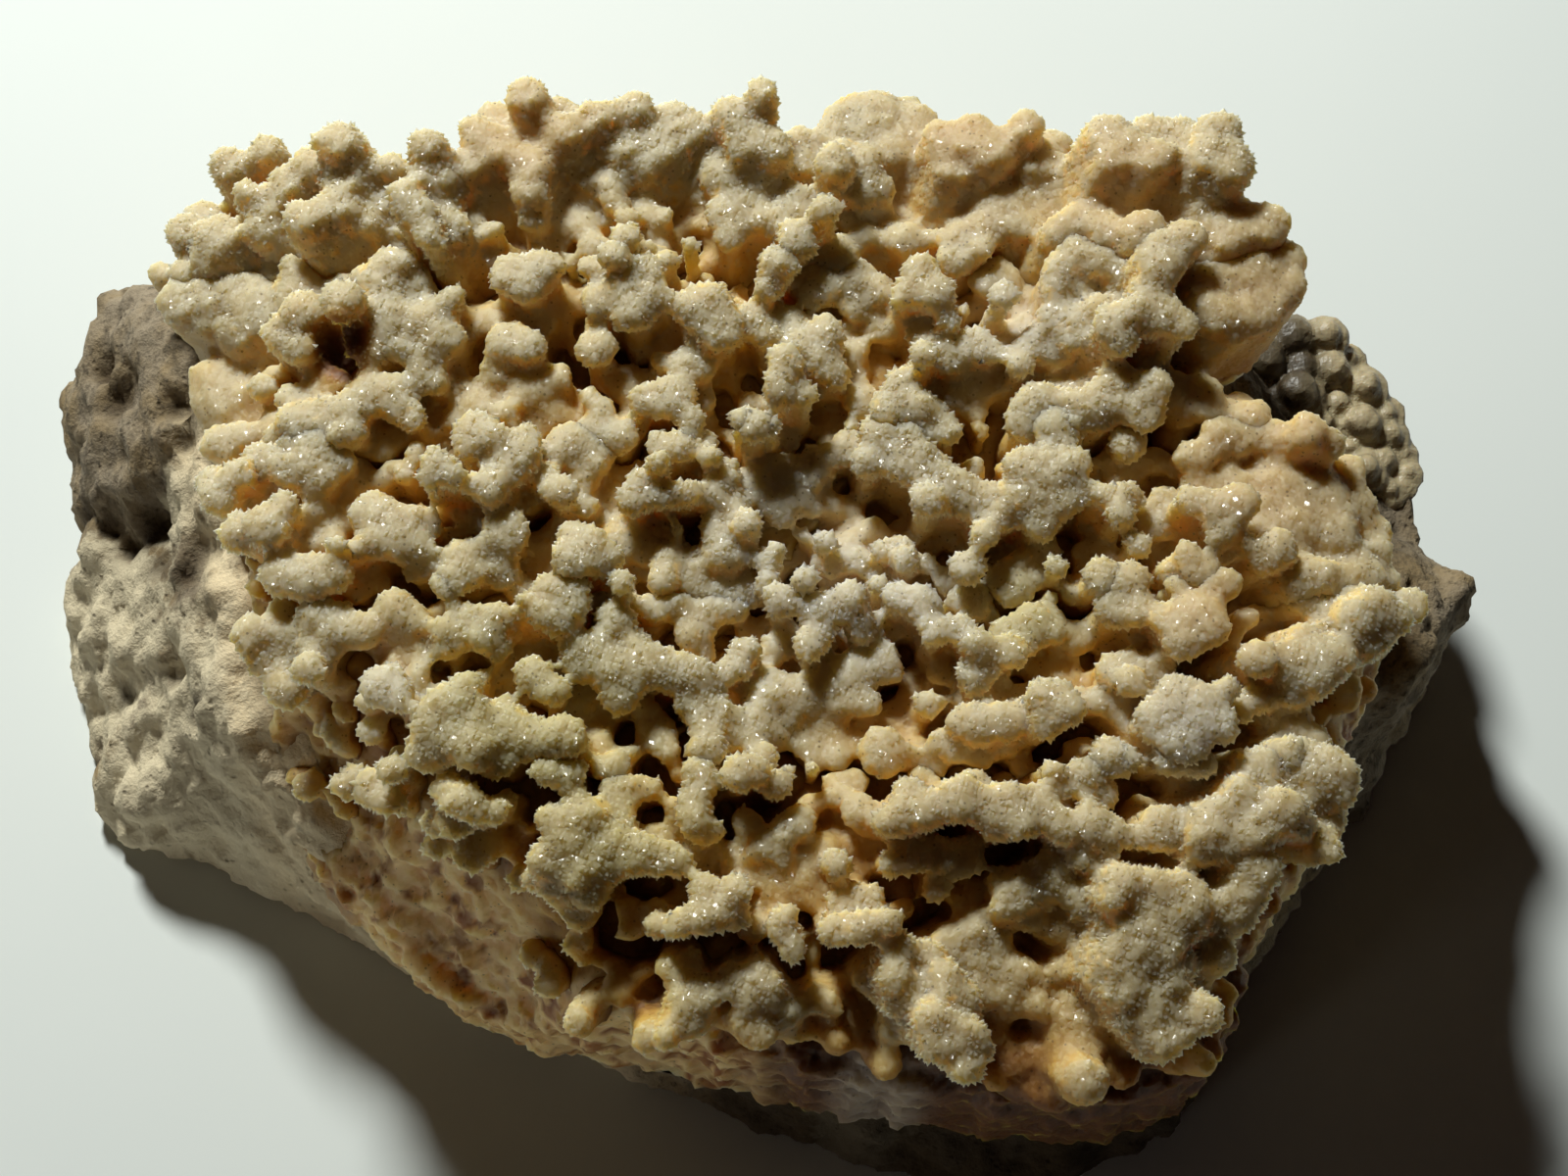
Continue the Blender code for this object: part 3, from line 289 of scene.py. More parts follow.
# heads of the knobs: x, y, radius, and height above or below the general level of the tips, in mm
knobHeads = (
    # back left corner
    (-53, 49, 1.9, 0), (-57.3, 47.8, 2.5, 0), (-44, 46.6, 2.7, 0), (-47.5, 45.8, 2.2, 0),
    (-50, 43.8, 2.2, 0), (-52, 41.3, 2.1, 0), (-60.6, 43.3, 2.4, -1), (-62, 40.5, 2.3, -1),
    (-58, 38.9, 2.9, 0), (-58.5, 36.8, 2.4, -1), (-54.5, 42.8, 1.7, 0), (-65, 36.8, 1.6, -2),
    (-61.8, 35.8, 1.8, -1), (-56.3, 36.5, 1.1, 0), (-52.4, 38.9, 2.3, 0), (-47.6, 38, 2.3, 0),
    (-50.3, 35.8, 2.6, -1), (-48.8, 33.7, 2.4, 0), (-43.9, 39.8, 2.5, -1), (-43.5, 43, 2.8, -1),
    (-40, 41.4, 2.2, 0), (-38, 41, 1.8, 0), (-36.3, 39, 1.9, 0), (-34.2, 45.4, 2.1, 0), (-33, 42, 1.7, 0),
    (-35, 42.2, 1.7, 0), (-38.2, 44.3, 1.5, -1),
    # broad pale knobs down the left side
    (-61.8, 32.4, 2.8, 0), (-58.8, 33, 2.8, 0), (-56, 33, 3.1, 0), (-52.2, 30.4, 3.4, 0), (-55, 28.8, 3, 0),
    (-48.6, 31.3, 2.8, 0), (-47.1, 27.8, 2.6, 0), (-49.3, 25.7, 2.5, -0.5), (-47.4, 23.8, 2, -1),
    (-57.3, 22.5, 4, -2), (-56.5, 19.5, 3, -3), (-51.6, 21, 1.7, -1), (-46.6, 21, 1.6, -4),
    # back edge, left half
    (-27.6, 51.3, 2.3, 0), (-29.4, 48.3, 2, 0), (-27.3, 46.3, 2.7, 0), (-29.8, 44.4, 2.3, 0),
    (-23.8, 51.6, 2.5, 0), (-20.3, 50.9, 2.3, -1), (-19.6, 47.6, 2.3, 0), (-23.6, 44, 2.8, 0),
    (-23.2, 40.6, 2.3, -1), (-23, 38.2, 2, -3), (-13.2, 48.1, 3.2, 0), (-12.2, 51.6, 2.1, 0),
    (-8.3, 51, 2.6, 0), (-5.8, 49.7, 2.3, 0), (-9.5, 47.8, 3.2, 0), (-10.8, 45.6, 2.6, -0.5),
    (-16, 50, 2.2, -2), (1.5, 52.3, 1.8, 0), (-1.7, 50.5, 2.3, -1), (0.1, 47.4, 2.8, 0),
    (2.6, 46.3, 2.5, 0), (1.4, 43.4, 1.7, -0.5), (-2.4, 44.2, 2.9, 0), (-1.4, 41.8, 1.5, 0),
    (5.4, 49, 2.2, -1), (5.9, 46.3, 1.9, -1),
    # back edge, right half
    (14.5, 53.4, 2.6, 0), (11, 52.4, 2.6, 0), (9.2, 50.6, 1.7, 0), (12.3, 50, 3, 0), (15.8, 50.3, 3, 0),
    (18.9, 51.8, 2.6, 0), (16, 48.3, 2.4, 0), (21, 48.3, 1.9, -0.5), (10.4, 46.9, 1.9, 0),
    (9.5, 44, 2.5, 0), (12.6, 45.4, 2.3, 0), (12.8, 42.6, 2.4, -0.5), (14.8, 42.9, 1.7, -1),
    (24.5, 47.6, 3, -1), (26.6, 45.7, 2.5, -1), (22.5, 44.8, 3, -2), (30, 48.3, 2.1, 0),
    (33.3, 48.4, 2.3, 0), (31.7, 45.7, 2.7, 0), (31.8, 42.9, 2.5, -2), (38.6, 46, 2.7, 0),
    (38.8, 42.5, 2, 0), (40.9, 43.6, 2.7, 0), (43.5, 46.6, 3, 0), (43.3, 42.6, 2.3, 0),
    (46.5, 46.8, 2.7, 0), (50.4, 46, 2.6, 0), (49.5, 43, 2.7, 0), (51.6, 41.6, 2.4, 0),
    (49.1, 38.9, 2.6, 0), (52, 38, 2.3, 0), (49.6, 36.4, 2.6, 0), (51.3, 34.4, 2.2, 0), (37.5, 41, 3, -5),
    (42, 40.5, 3, -5),
    # smooth mound at the back right
    (55.1, 36.6, 3, -1), (56.9, 33.2, 3, -1), (56.2, 29.8, 3.2, -1), (54.5, 27.4, 3, -1),
    (53.6, 32.4, 3.2, -0.5), (52, 26, 2.8, -0.5), (51, 24.3, 2, -1), (48.3, 26.9, 2.7, 0),
    (50, 25.6, 2.3, 0), (46, 33, 2.3, 0), (41.8, 34.2, 2.7, -1), (43.3, 30.5, 3.4, -1), (42, 27, 2.8, -1),
    (43, 24.4, 2.8, -1), (45, 23.2, 2.2, -1), (33.3, 35.8, 2.4, 0), (36, 36.6, 2.6, 0), (38.3, 35, 2.6, 0),
    (35.6, 33.2, 3, 0), (38, 31.9, 2.2, 0), (33.4, 31.5, 2.4, 0), (32.5, 29.6, 1.9, -0.5),
    # behind the centre
    (28.1, 40.4, 2.7, 0), (25.9, 38, 2.8, 0), (23.2, 36.7, 2.6, 0), (22.2, 34, 2.1, 0),
    (25.2, 34.9, 1.8, 0), (29.2, 37.8, 2, -0.5), (26.6, 32.6, 3, -2), (32, 39.5, 1.8, -3), (8.5, 38, 2, 0),
    (5.4, 35.2, 2.6, 0), (9.4, 35, 3, 0), (7.6, 31.9, 3.2, 0), (11.6, 32.4, 3, 0), (14, 31, 2.1, 0),
    (3.5, 32.7, 2.5, -0.5), (2.4, 30.5, 2, -1.5), (0, 35.5, 3, -6), (1.7, 38.8, 1.9, 0),
    (3.6, 38.2, 2.3, -0.5), (5.8, 40, 2.5, 0), (5.3, 42, 1.5, 0), (-2.6, 39.6, 2.3, 0), (-1.9, 37, 2.3, 0),
    (-0.7, 40.6, 1.4, 0), (-6.9, 40.5, 2, -4), (-8.7, 39.5, 1.3, -5), (-12.8, 38.3, 1.6, -1),
    (-14.7, 43, 1.9, -3), (-14.4, 41, 1.6, -3), (-17.8, 38.8, 2.3, -4), (-16.2, 35.5, 2.2, -2),
    (-16.4, 33, 1.9, -1), (-12.9, 34.8, 2.2, -1), (-14, 32.6, 1.9, -0.5), (-10.5, 38, 1.9, -4),
    (-6, 35, 1.4, -2), (-8.5, 33.4, 1.9, 0), (-10.7, 31.7, 2.3, 0), (-12.6, 30, 2.7, 0),
    (-15.7, 28.4, 2.2, -0.5), (-11.8, 27.6, 3, 0), (-9.9, 28.9, 2.1, 0), (16, 41, 1.7, -7),
    (18, 41, 1.9, -7), (17, 37, 2.4, -5), (18.3, 31, 2.3, 0), (17, 28.6, 2, 0), (19.8, 28.6, 2.6, 0),
    (18.6, 26, 2, -0.5), (27.1, 28, 1.9, -1), (23.4, 29, 1, -3),
    # left of the centre
    (-35, 37.2, 2.2, 0), (-32.2, 38.3, 2.2, 0), (-31, 36.4, 2, 0), (-33.3, 34.2, 2, 0),
    (-40.6, 38, 1.6, -2), (-38.1, 32.7, 2.5, 0), (-38.9, 30.6, 2.7, 0), (-41.1, 31.9, 1.4, 0),
    (-36.4, 33, 1.6, 0), (-42.2, 27.1, 2.5, 0), (-37.9, 27.1, 3.2, 0), (-33.6, 26.3, 3, 0),
    (-31.5, 24.2, 2.6, 0), (-34.2, 22.6, 2.6, 0), (-33, 20.2, 2.3, -0.5), (-40.2, 23.7, 2.6, 0),
    (-37.4, 24, 2.4, 0), (-31, 28.6, 1.6, -2), (-43.6, 31.8, 2, -3), (-24.6, 31.6, 2.8, 0),
    (-21.8, 32, 2.8, 0), (-23.2, 30, 2.6, 0), (-26, 30.6, 1.7, 0), (-25.4, 24, 2.5, 0), (-23, 23.5, 2.4, 0),
    (-22.7, 20.3, 3.2, -1.5), (-19.8, 21, 1.8, -1.5), (-15.8, 23.5, 2.5, 0), (-4.3, 27.3, 3.5, 0),
    (-2.7, 25, 2.8, 0), (0.8, 27, 2.2, 0), (1.8, 25.2, 1.9, 0), (-5.4, 22.6, 3, -3), (8.5, 25.2, 2.4, 0),
    (6, 23.9, 2.5, 0), (7.8, 22.6, 2.6, 0), (4.8, 27.5, 1.7, -2), (9.3, 21, 2, -0.5), (4.2, 20.8, 2.2, 0),
    (3.3, 17.5, 1.9, 0), (3.5, 19, 1.8, 0), (12.1, 24.8, 1.4, -4), (21.4, 25.8, 1.7, 0),
    (19.4, 23.8, 2.2, 0), (18.5, 21.4, 1.9, 0), (21.8, 23, 2.8, 0), (24.4, 23.8, 2.2, 0),
    (25.5, 22.5, 1.8, 0), (22.8, 21.2, 2.8, -2), (33, 26.4, 2.6, 0), (35.3, 25.2, 2.6, 0),
    (37.1, 26.2, 2, 0), (34.4, 23.5, 2.2, 0), (30, 23.3, 1.9, 0), (32.1, 22.4, 1.8, -0.5),
    (38, 23.2, 2.6, 0), (40.2, 24.2, 1.9, 0), (38.9, 21.2, 2, 0), (28.7, 20.8, 1.8, -2),
    (35.4, 21, 1.6, -4),
    # middle, left
    (-47.1, 15.7, 2.6, 0), (-44.3, 15.7, 2.8, 0), (-41.4, 16.6, 2.6, 0), (-39.7, 18.3, 2.6, 0),
    (-37.4, 18.2, 2.5, 0), (-36, 16.5, 2.2, 0), (-34.8, 15.2, 1.8, 0), (-44.5, 13.2, 2.8, 0),
    (-41.5, 14.2, 2.6, 0), (-47.4, 13.8, 1.8, 0), (-45.6, 11.3, 2.4, 0), (-43.9, 9.7, 2.2, -0.5),
    (-38.5, 14, 2.6, -3), (-56, 15.3, 2.6, -1), (-53.6, 16, 2, -2), (-56, 9.8, 1.9, -1),
    (-54.7, 7.3, 2.4, -1), (-53, 9.3, 2, -1.5), (-51, 12.2, 2.3, 0), (-48.4, 11.2, 2.6, 0),
    (-47.2, 9.6, 2, 0), (-51.8, 2.7, 2.6, -1), (-49, 2.8, 2.6, -0.5), (-47.5, 5.2, 1.9, -1),
    (-47.5, -1.6, 2.8, -1), (-44.5, -2.3, 2.9, -1), (-42, -2.2, 2.3, -1.5), (-50.8, -7.3, 2.4, -1),
    (-47.6, -7.2, 2.4, -1), (-49.2, -9.8, 2.4, -1), (-43.6, -5.8, 2.4, 0), (-41.6, -7, 2.8, 0),
    (-39.1, -7.8, 2.4, 0), (-43.3, -9.2, 2.7, -0.5), (-46.8, -12.8, 2.7, -0.5), (-44, -12.2, 2.1, -0.5),
    (-36.8, 4.1, 2.7, 0), (-34.5, 4.2, 1.9, 0), (-35.6, 2, 2.9, 0), (-38, 1.7, 2.2, 0),
    (-39.6, 0.8, 1.8, -0.5), (-41.6, 0.4, 1.4, -1), (-33.5, 1, 1.9, -0.5), (-33.6, -1.2, 1.7, -1.5),
    (-29, 0, 2.3, 0), (-29.3, -2.1, 2.4, 0), (-30.6, -3.5, 1.8, 0), (-27.8, -1.7, 1.7, 0),
    (-24.5, 2.6, 2.8, -2.5), (-25.3, -1, 2.4, -2.5), (-35.8, -5, 2.2, -1.5), (-34, -6.4, 2.5, -2),
    (-28.2, -6.9, 2.4, 0), (-30, -7.8, 2, 0), (-25.6, -7.1, 2.2, 0), (-26.7, -8.6, 2.1, 0),
    (-22.7, -5.4, 0.9, 0), (-22.7, -6.8, 0.9, 0), (-31.8, 14.4, 1.4, -5), (-27.9, 13.3, 2.6, 0),
    (-28.7, 11.3, 2, 0), (-26.4, 12.4, 1.8, 0), (-31.6, 8.6, 2, 0), (-30.1, 7.4, 1.7, 0),
    (-32.2, 7.2, 1.6, 0), (-24.6, 9, 2.6, 0), (-25.9, 7.2, 2.4, 0), (-27.3, 6.7, 1.6, 0),
    (-22.9, 10.8, 2.1, 0), (-20.8, 8.5, 2.1, 0), (-19, 6.5, 2.2, -2), (-22.8, 12.6, 2, -1),
    (-28, 17.6, 2.8, -2), (-30.1, 16.6, 2, -3), (-22.9, 18, 3, -2.5), (-20.5, 17.6, 2.4, -3),
    # middle
    (-18.1, 13.3, 2.8, 0), (-15.8, 12.6, 2.8, 0), (-13.4, 14, 2.4, 0), (-19.5, 11.9, 1.7, 0),
    (-10.8, 17.8, 1.9, -0.5), (-7.8, 18, 2.7, -1), (-12.5, 21, 2.7, -3), (-9.2, 13.4, 1.5, 0),
    (-9.3, 12.2, 1.4, 0), (-5.4, 15.4, 1.6, 0), (-5.8, 14, 1.8, 0), (-6.8, 12.5, 2.2, 0),
    (-3.6, 11, 1.4, 0), (-1.4, 11.2, 1.1, 0), (-2.3, 9.3, 1.9, 0), (-3.6, 7.7, 2, 0),
    (-1.8, 6.6, 2.4, -0.5), (-2.5, 4, 2.6, -0.5), (0.3, 4, 1.9, -1), (-8.9, 9.3, 1.5, 0),
    (-10.9, 8.1, 1.8, -0.5), (-11.5, 6.2, 2.2, -0.5), (-8.5, 6.6, 2, 0), (-6.1, 7, 1.8, 0), (-6.9, 4, 1, 0),
    (-12.5, 3.5, 3, -4), (-8, 1.1, 1.6, 0), (-5.2, 0.6, 2.3, 0), (-2, 1.8, 2.6, 0), (0, 1.4, 1.5, 0),
    (-3.5, -1.7, 3, 0), (-1.1, -2.3, 2.7, 0), (-5.3, -1.5, 1.9, 0), (-3.5, -4.4, 2.2, 0),
    (-0.9, -3.8, 2, 0), (-15.7, 0.7, 1.9, 0), (-17.4, -1.2, 2.6, 0), (-14.6, -1, 2.3, 0),
    (-19.4, -4.3, 2.2, 0), (-17.9, -6, 2.4, 0), (-20.2, -6.6, 2.2, 0), (-17, -4, 1.7, 0),
    (-18.5, -7.8, 1.7, 0), (-12.5, -3.6, 1.6, 0), (-10.2, -4.2, 1.8, 0), (-9.2, -5, 1.5, 0),
    (-8.7, -1.6, 1.9, -2), (-7.2, -3.8, 1.4, -2), (-13.1, -6.8, 2.2, -1), (-5.4, -6.9, 2.4, -2),
    (0.9, 13.8, 2.3, 0), (2.4, 14, 1.6, -0.5), (-0.5, 14.6, 1.6, -0.5), (4.2, 10.8, 2.8, 0),
    (1.8, 9.2, 2.6, 0), (5, 9.5, 2.8, 0), (3.5, 7.4, 2.6, 0), (6.8, 10.2, 1.7, -0.5), (8.3, 11.4, 1.3, -2),
    (2.4, -2.4, 1.7, 0), (3.6, -4.6, 2.2, 0), (6.2, -2.5, 1.7, 0), (2.5, 0.3, 1.5, -1), (3.3, 1.4, 1.2, -1),
    (7.4, -5.2, 2.1, 0), (7.4, -7.8, 2.3, 0), (6.6, -9.2, 2, 0), (10.9, -3.7, 1.9, -0.5),
    (11.2, -5.9, 1.8, -1), (11.8, -7.5, 1.4, -2), (8.3, 2.8, 1.7, -3), (11.6, 1.5, 1.8, -2),
    (16.2, 2.3, 1.7, -3), (16.5, 0, 1.8, -2), (14.2, 1.8, 1.5, -3), (13.8, -2.2, 1.4, 0),
    (15.6, -4.2, 2, 0), (17.9, -5.2, 2.3, 0), (19.2, -8.5, 1.8, 0), (21.9, -7.6, 1.9, 0),
    (23.6, -9.6, 2, 0), (23.2, -12.4, 2.3, 0), (9.2, 8.4, 1.8, -5), (11, 8.2, 1.7, -6),
    # middle, right
    (16.2, 18.9, 2.1, 0), (15.3, 16.4, 2.6, 0), (18, 16.7, 2.3, 0), (14.4, 13.9, 2.8, 0),
    (10.8, 13.7, 2.5, 0), (9, 12.9, 1.7, 0), (17.1, 13.6, 2.3, 0), (16.8, 10.9, 3, 0), (12.9, 10.9, 2.3, 0),
    (19, 9.4, 3.1, 0), (21.2, 7.8, 2.5, 0), (19, 5.7, 2.3, 0), (21.8, 6, 1.8, 0), (12.3, 19, 2.2, -5),
    (28.9, 9.3, 2.4, 0), (31.5, 8.6, 3, 0), (33.9, 9, 2.2, 0), (25, 6.8, 2.4, 0), (24.3, 5, 1.9, 0),
    (29.1, 6.2, 3, 0), (32.6, 5.8, 2.6, 0), (30.3, 3.7, 2.4, -0.5), (27, 4.5, 2.2, -0.5),
    (24.5, 2.1, 1.7, 0), (22.8, -1.2, 2.1, 0), (28.6, 0.8, 0.8, -2), (31.9, -1.4, 1.6, -2),
    (33.7, -2.8, 1.5, -2), (23.3, -3.2, 2.6, -3), (27.6, -1.6, 3, -4), (29.5, -6.2, 2.2, 0),
    (26.8, -7.3, 2.2, 0), (30.6, -7.6, 1.9, 0), (28.6, -8.3, 1.9, 0), (27, -10.3, 2.1, -1),
    (30.5, 16.7, 2.4, 0), (29.3, 14.8, 2.6, 0), (32.2, 13.8, 3, 0), (34.6, 14.2, 1.8, 0),
    (34.3, 16.6, 1.4, 0), (39, 18.5, 2.2, 0), (36.9, 17, 2.2, 0), (36, 15.8, 1.8, 0), (39.5, 16.2, 2.8, 0),
    (42.4, 17.4, 2.2, 0), (41.2, 14.8, 2.5, 0), (39.7, 12.6, 2.6, -1), (39.2, 9.4, 1.8, -3),
    (38.2, 5.1, 1.9, 0), (38.5, 3.5, 1.8, 0), (36.6, 6, 1.5, -0.5), (40.1, 0.5, 1.7, 0), (36.5, -3, 2.4, 0),
    (39.1, -3.5, 2.6, 0), (37.9, -6, 2.8, 0), (40.1, -6.4, 2.2, 0), (43.2, -8.2, 2.5, 0),
    (45.8, -7.6, 2.8, 0), (43.8, -10.5, 2.3, 0), (46.8, -9.3, 2.3, 0), (34, -7.5, 2.4, -3),
    # right side
    (44.5, 18.5, 3, -3), (48, 17.8, 3, -3), (52, 17.2, 2.7, -3), (53.1, 15.6, 2.6, -0.5),
    (49.4, 13.4, 2.6, 0), (51.5, 13.2, 2.3, 0), (55.1, 13.6, 2.4, 0), (48.8, 12, 1.5, 0),
    (46.7, 10.9, 2.3, -1), (58.3, 12.8, 2.4, -1), (60.6, 12.3, 2, -1.5), (63.4, 10.8, 2.2, -2),
    (47.8, 7.5, 2.8, -1), (51, 7.8, 2.8, -1), (45.3, 4.7, 1.9, 0), (47.6, 3.8, 2.4, 0), (50.3, 4.4, 2.4, 0),
    (48.4, 1.6, 2.2, 0), (51, 0.4, 1.6, 0), (48.8, -0.6, 1.4, 0), (44.8, -1, 1.7, 0), (46.2, -3, 2.4, -0.5),
    (47.9, -4.4, 2.4, -0.5), (44, -4.2, 1.8, -1), (55.7, 7.8, 3.8, -1.5), (59.2, 7.2, 3.8, -1.5),
    (62.8, 6.8, 3.6, -2), (65, 4.4, 3, -2.5), (60.5, 3.8, 3.4, -1.5), (56.8, 4, 3.4, -1.5),
    (53.5, 3.5, 2.5, -1.5), (54.2, 0.2, 2.3, 0), (56.6, -2.5, 3, 0), (59, -2, 1.9, 0),
    (57.1, -4.3, 2, -0.5), (52.8, -1.5, 1.9, -1), (61.5, -2.4, 2.4, 0), (64, -1.5, 2.4, 0),
    (66.3, -1.4, 2, -1), (61.8, -3.8, 1.7, 0), (68.6, -4.2, 2.1, -1.5), (63.8, -6, 2.8, -0.5),
    (62.2, -7.4, 2.4, -0.5), (64.2, -8.3, 2.2, -1), (66, -6.7, 2.1, -1), (63.2, 0.8, 1.8, -0.5),
    (66, 2, 1.4, -1.5), (51.1, -12.3, 2.3, 0), (47.9, -15.5, 1.6, 0), (49.5, -17, 1.7, 0),
    (51.3, -15.7, 1.8, 0), (54.5, -12.4, 2.6, 0), (56.9, -11.5, 2.6, 0), (59.3, -11.5, 2.6, 0),
    (57, -14, 2.4, 0), (54.6, -15.1, 1.7, 0), (53.3, -17, 2.4, -2), (55.6, -17.5, 2.1, -2),
    (57.5, -19.4, 1.7, -0.5), (50.6, -23.4, 2.3, 0), (52, -22.5, 1.8, 0), (54.1, -22, 2.2, 0),
    (56.1, -22.4, 2.6, 0), (58.3, -23.2, 2.6, 0), (59, -25, 2.2, -0.5), (56.3, -25.5, 2.4, -0.5),
    (57.7, -27.7, 2.4, -2), (57, -30.6, 2.1, -2), (53.2, -28.1, 2.2, 0), (51.5, -29.3, 2, 0),
    (49.8, -30.4, 2, 0), (54.6, -29.2, 1.8, -0.5), (48.6, -25.9, 1.4, 0), (47.7, -27.2, 1.5, 0),
    (46.6, -28.2, 1.6, 0), (45.6, -29.7, 2, 0), (45.3, -31.3, 2, 0), (47, -31.1, 1.7, 0),
    (43.1, -16.8, 2.8, 0), (41.4, -19, 2.8, 0), (45.1, -17.7, 2.8, 0), (46.5, -19.3, 2.4, 0),
    (43.3, -20.8, 3, 0), (42.3, -22.3, 2.2, -1), (42.7, -13.9, 1.9, -1), (37.3, -12, 2.2, 0),
    (38.8, -11.7, 2, 0), (38.7, -14.1, 1.8, 0), (40.8, -12, 1.9, 0), (35.6, -15.4, 1.5, -1.5),
    (32.5, -11.6, 2.6, -4), (36.4, -21.8, 2.6, 0), (38, -22.1, 1.7, 0), (34.2, -23.4, 2.6, 0),
    (35.5, -25.1, 2.2, -1), (33, -24.3, 1.7, 0), (41, -28.8, 2.6, -1), (39.7, -30, 1.8, -1),
    (42.7, -29.6, 1.7, -1),
    # front of the centre
    (-16, -10.8, 3, 0), (-13.4, -12.2, 3, 0), (-10.5, -11.4, 3.2, 0), (-7.9, -12, 2.6, 0),
    (-5.3, -12.4, 2.3, 0), (-12.5, -14.6, 2.5, -1), (-17, -10, 2.3, 0), (-11, -10, 2.3, 0),
    (-5, -15.4, 2.4, 0), (-2.7, -16.2, 2.2, 0), (-3.9, -17.8, 2.2, 0), (-3.6, -20.4, 2.2, 0),
    (-4.4, -22.8, 2.2, 0), (-4.6, -25.2, 2.3, 0), (-4.9, -27.4, 2.6, 0), (-3.8, -28.6, 2, -1),
    (-9, -17.5, 2.6, -6), (-7.9, -19.5, 2, -6), (-0.6, -23.8, 2.2, -2), (0.9, -23.2, 2, -2),
    (3, -24, 2, -4), (0, -9.6, 1.9, 0), (-0.9, -11.2, 2, 0), (-1.9, -12.4, 1.5, 0), (13.9, -10, 2.6, 0),
    (11.2, -11, 2.8, 0), (8.3, -12.3, 2.8, 0), (6, -13.2, 2.6, 0), (3.1, -12.7, 2.3, 0), (2, -14.2, 2.2, 0),
    (9.8, -14, 2.3, -0.5), (1, -16.8, 2.4, 0), (2.8, -17.6, 2, -1), (-0.6, -18.5, 1.6, 0),
    (8.8, -16.4, 2, -2), (15, -16, 3.2, -4), (14, -19.8, 3, -5), (10.9, -22.2, 1.8, -2),
    (8.9, -22.4, 1.5, -2), (6.9, -22, 1.1, -3), (11.5, -26, 2.3, 0), (12.3, -27.2, 1.6, -1),
    (22.5, -17.5, 2.4, 0), (18.7, -15, 2, -2), (26, -17.5, 2.4, 0), (23.8, -18, 2.3, 0),
    (30.9, -16.5, 2.8, 0), (32.3, -17.6, 1.9, 0), (29.6, -15.6, 1.8, 0), (17.9, -12, 2.2, -4),
    (18.8, -20.4, 1.4, -2), (21.4, -19.8, 1.8, -2), (22.8, -23.8, 2.2, -2), (26.5, -22.5, 2, -3),
    (30.5, -23.4, 1.4, -2), (24.3, -14.8, 1.8, -2), (5.4, -27.3, 2.1, 0), (3.7, -28.8, 2.4, 0),
    (2, -30, 2, 0), (3.7, -30.7, 2, -0.5), (2, -32.4, 1.9, -1), (4.6, -32.8, 2.2, -1), (3.2, -34, 1.8, -1),
    (5.1, -34.3, 1.5, -1), (8.9, -27.8, 2, -3), (11, -29, 2.2, -3),
    # front left
    (-27.7, -14.6, 1.9, 0), (-29.1, -16.8, 2.6, 0), (-27.1, -17.7, 2.4, 0), (-31, -18.8, 2.4, 0),
    (-28.7, -20, 3, 0), (-26.7, -21.4, 2.6, 0), (-31.5, -21.3, 2.6, 0), (-23.5, -19, 3, -1),
    (-24.7, -21.8, 2.6, -1), (-21.4, -19.8, 2.8, -0.5), (-18.2, -19.8, 2.6, 0), (-16.8, -20.4, 1.8, 0),
    (-17.6, -23.6, 2.2, 0), (-19.6, -23.2, 1.8, 0), (-21.3, -13, 2.3, -1), (-19.2, -14.8, 2, -1),
    (-27.5, -26.2, 2.4, 0), (-28.6, -27.4, 2.4, 0), (-31.1, -27, 2, 0), (-31.4, -28.7, 1.8, 0),
    (-26.4, -27.6, 1.5, 0), (-27.4, -29.6, 2.6, -2), (-39.9, -22, 2.3, 0), (-37.6, -22.9, 2.6, 0),
    (-35.3, -22.2, 2.1, 0), (-36, -24.3, 2, 0), (-39, -24.2, 1.8, 0), (-42.6, -25.2, 1.8, -1),
    (-42.4, -27.4, 1.8, -2), (-36, -14.5, 2.6, -1), (-34.5, -15.8, 1.8, -1), (-15.9, -27.6, 3, 0),
    (-17, -29.3, 3.4, 0), (-19, -31.8, 2.8, 0), (-15.6, -31.8, 3.2, 0), (-17.9, -33.7, 3, -0.5),
    (-15.1, -34.2, 2.8, -0.5), (-20.4, -32.8, 2, -1), (-16.2, -36, 2.6, -1.5), (-12.6, -30.4, 2.6, 0),
    (-10.5, -31.2, 2.8, 0), (-8, -31.7, 2.4, 0), (-6.2, -32.4, 1.7, 0), (-12.4, -28.6, 2.5, -1.5),
    (-8.3, -28.5, 2, -2), (-13, -22, 2.4, -2), (-12.5, -24.2, 2.2, -2), (-12.2, -26.2, 2, -2),
    (-21.9, -37.5, 2, -1.5), (-19.9, -39.1, 1.8, -1), (-19.9, -41.4, 1.9, -1.5), (-24.5, -38, 2.4, -3),
    (-0.6, -35, 1.9, 0), (-2, -36.3, 2.2, 0), (-4, -37.7, 2.4, 0), (-6.3, -38.4, 1.9, -0.5),
    (-8.2, -37.8, 2, -3), (-7.4, -41.5, 2, 0), (-5.1, -43.2, 2.1, 0), (-5.7, -45.4, 2.6, 0),
    (-4, -44.8, 1.9, 0), (-4.8, -46.8, 2, -0.5), (-1.2, -43, 2.2, 0), (1.4, -42.7, 2.6, 0),
    (2.5, -44.4, 2.2, 0), (0.6, -44.8, 1.9, 0), (0.6, -47.3, 2.2, -1), (1.7, -48.4, 1.5, -1.5),
    (3.7, -38.4, 2.2, 0), (4.8, -40.4, 2.1, 0), (-9.6, -48.6, 1.6, -3), (-16.5, -46.6, 1.6, -3),
    (-16.5, -45.3, 1.3, -3), (-7.6, -49, 1.3, -3),
    # front right
    (10.3, -35.1, 2.2, 0), (12.6, -35.3, 1.9, 0), (11.7, -38.8, 2.4, 0), (14.1, -38.4, 1.9, 0),
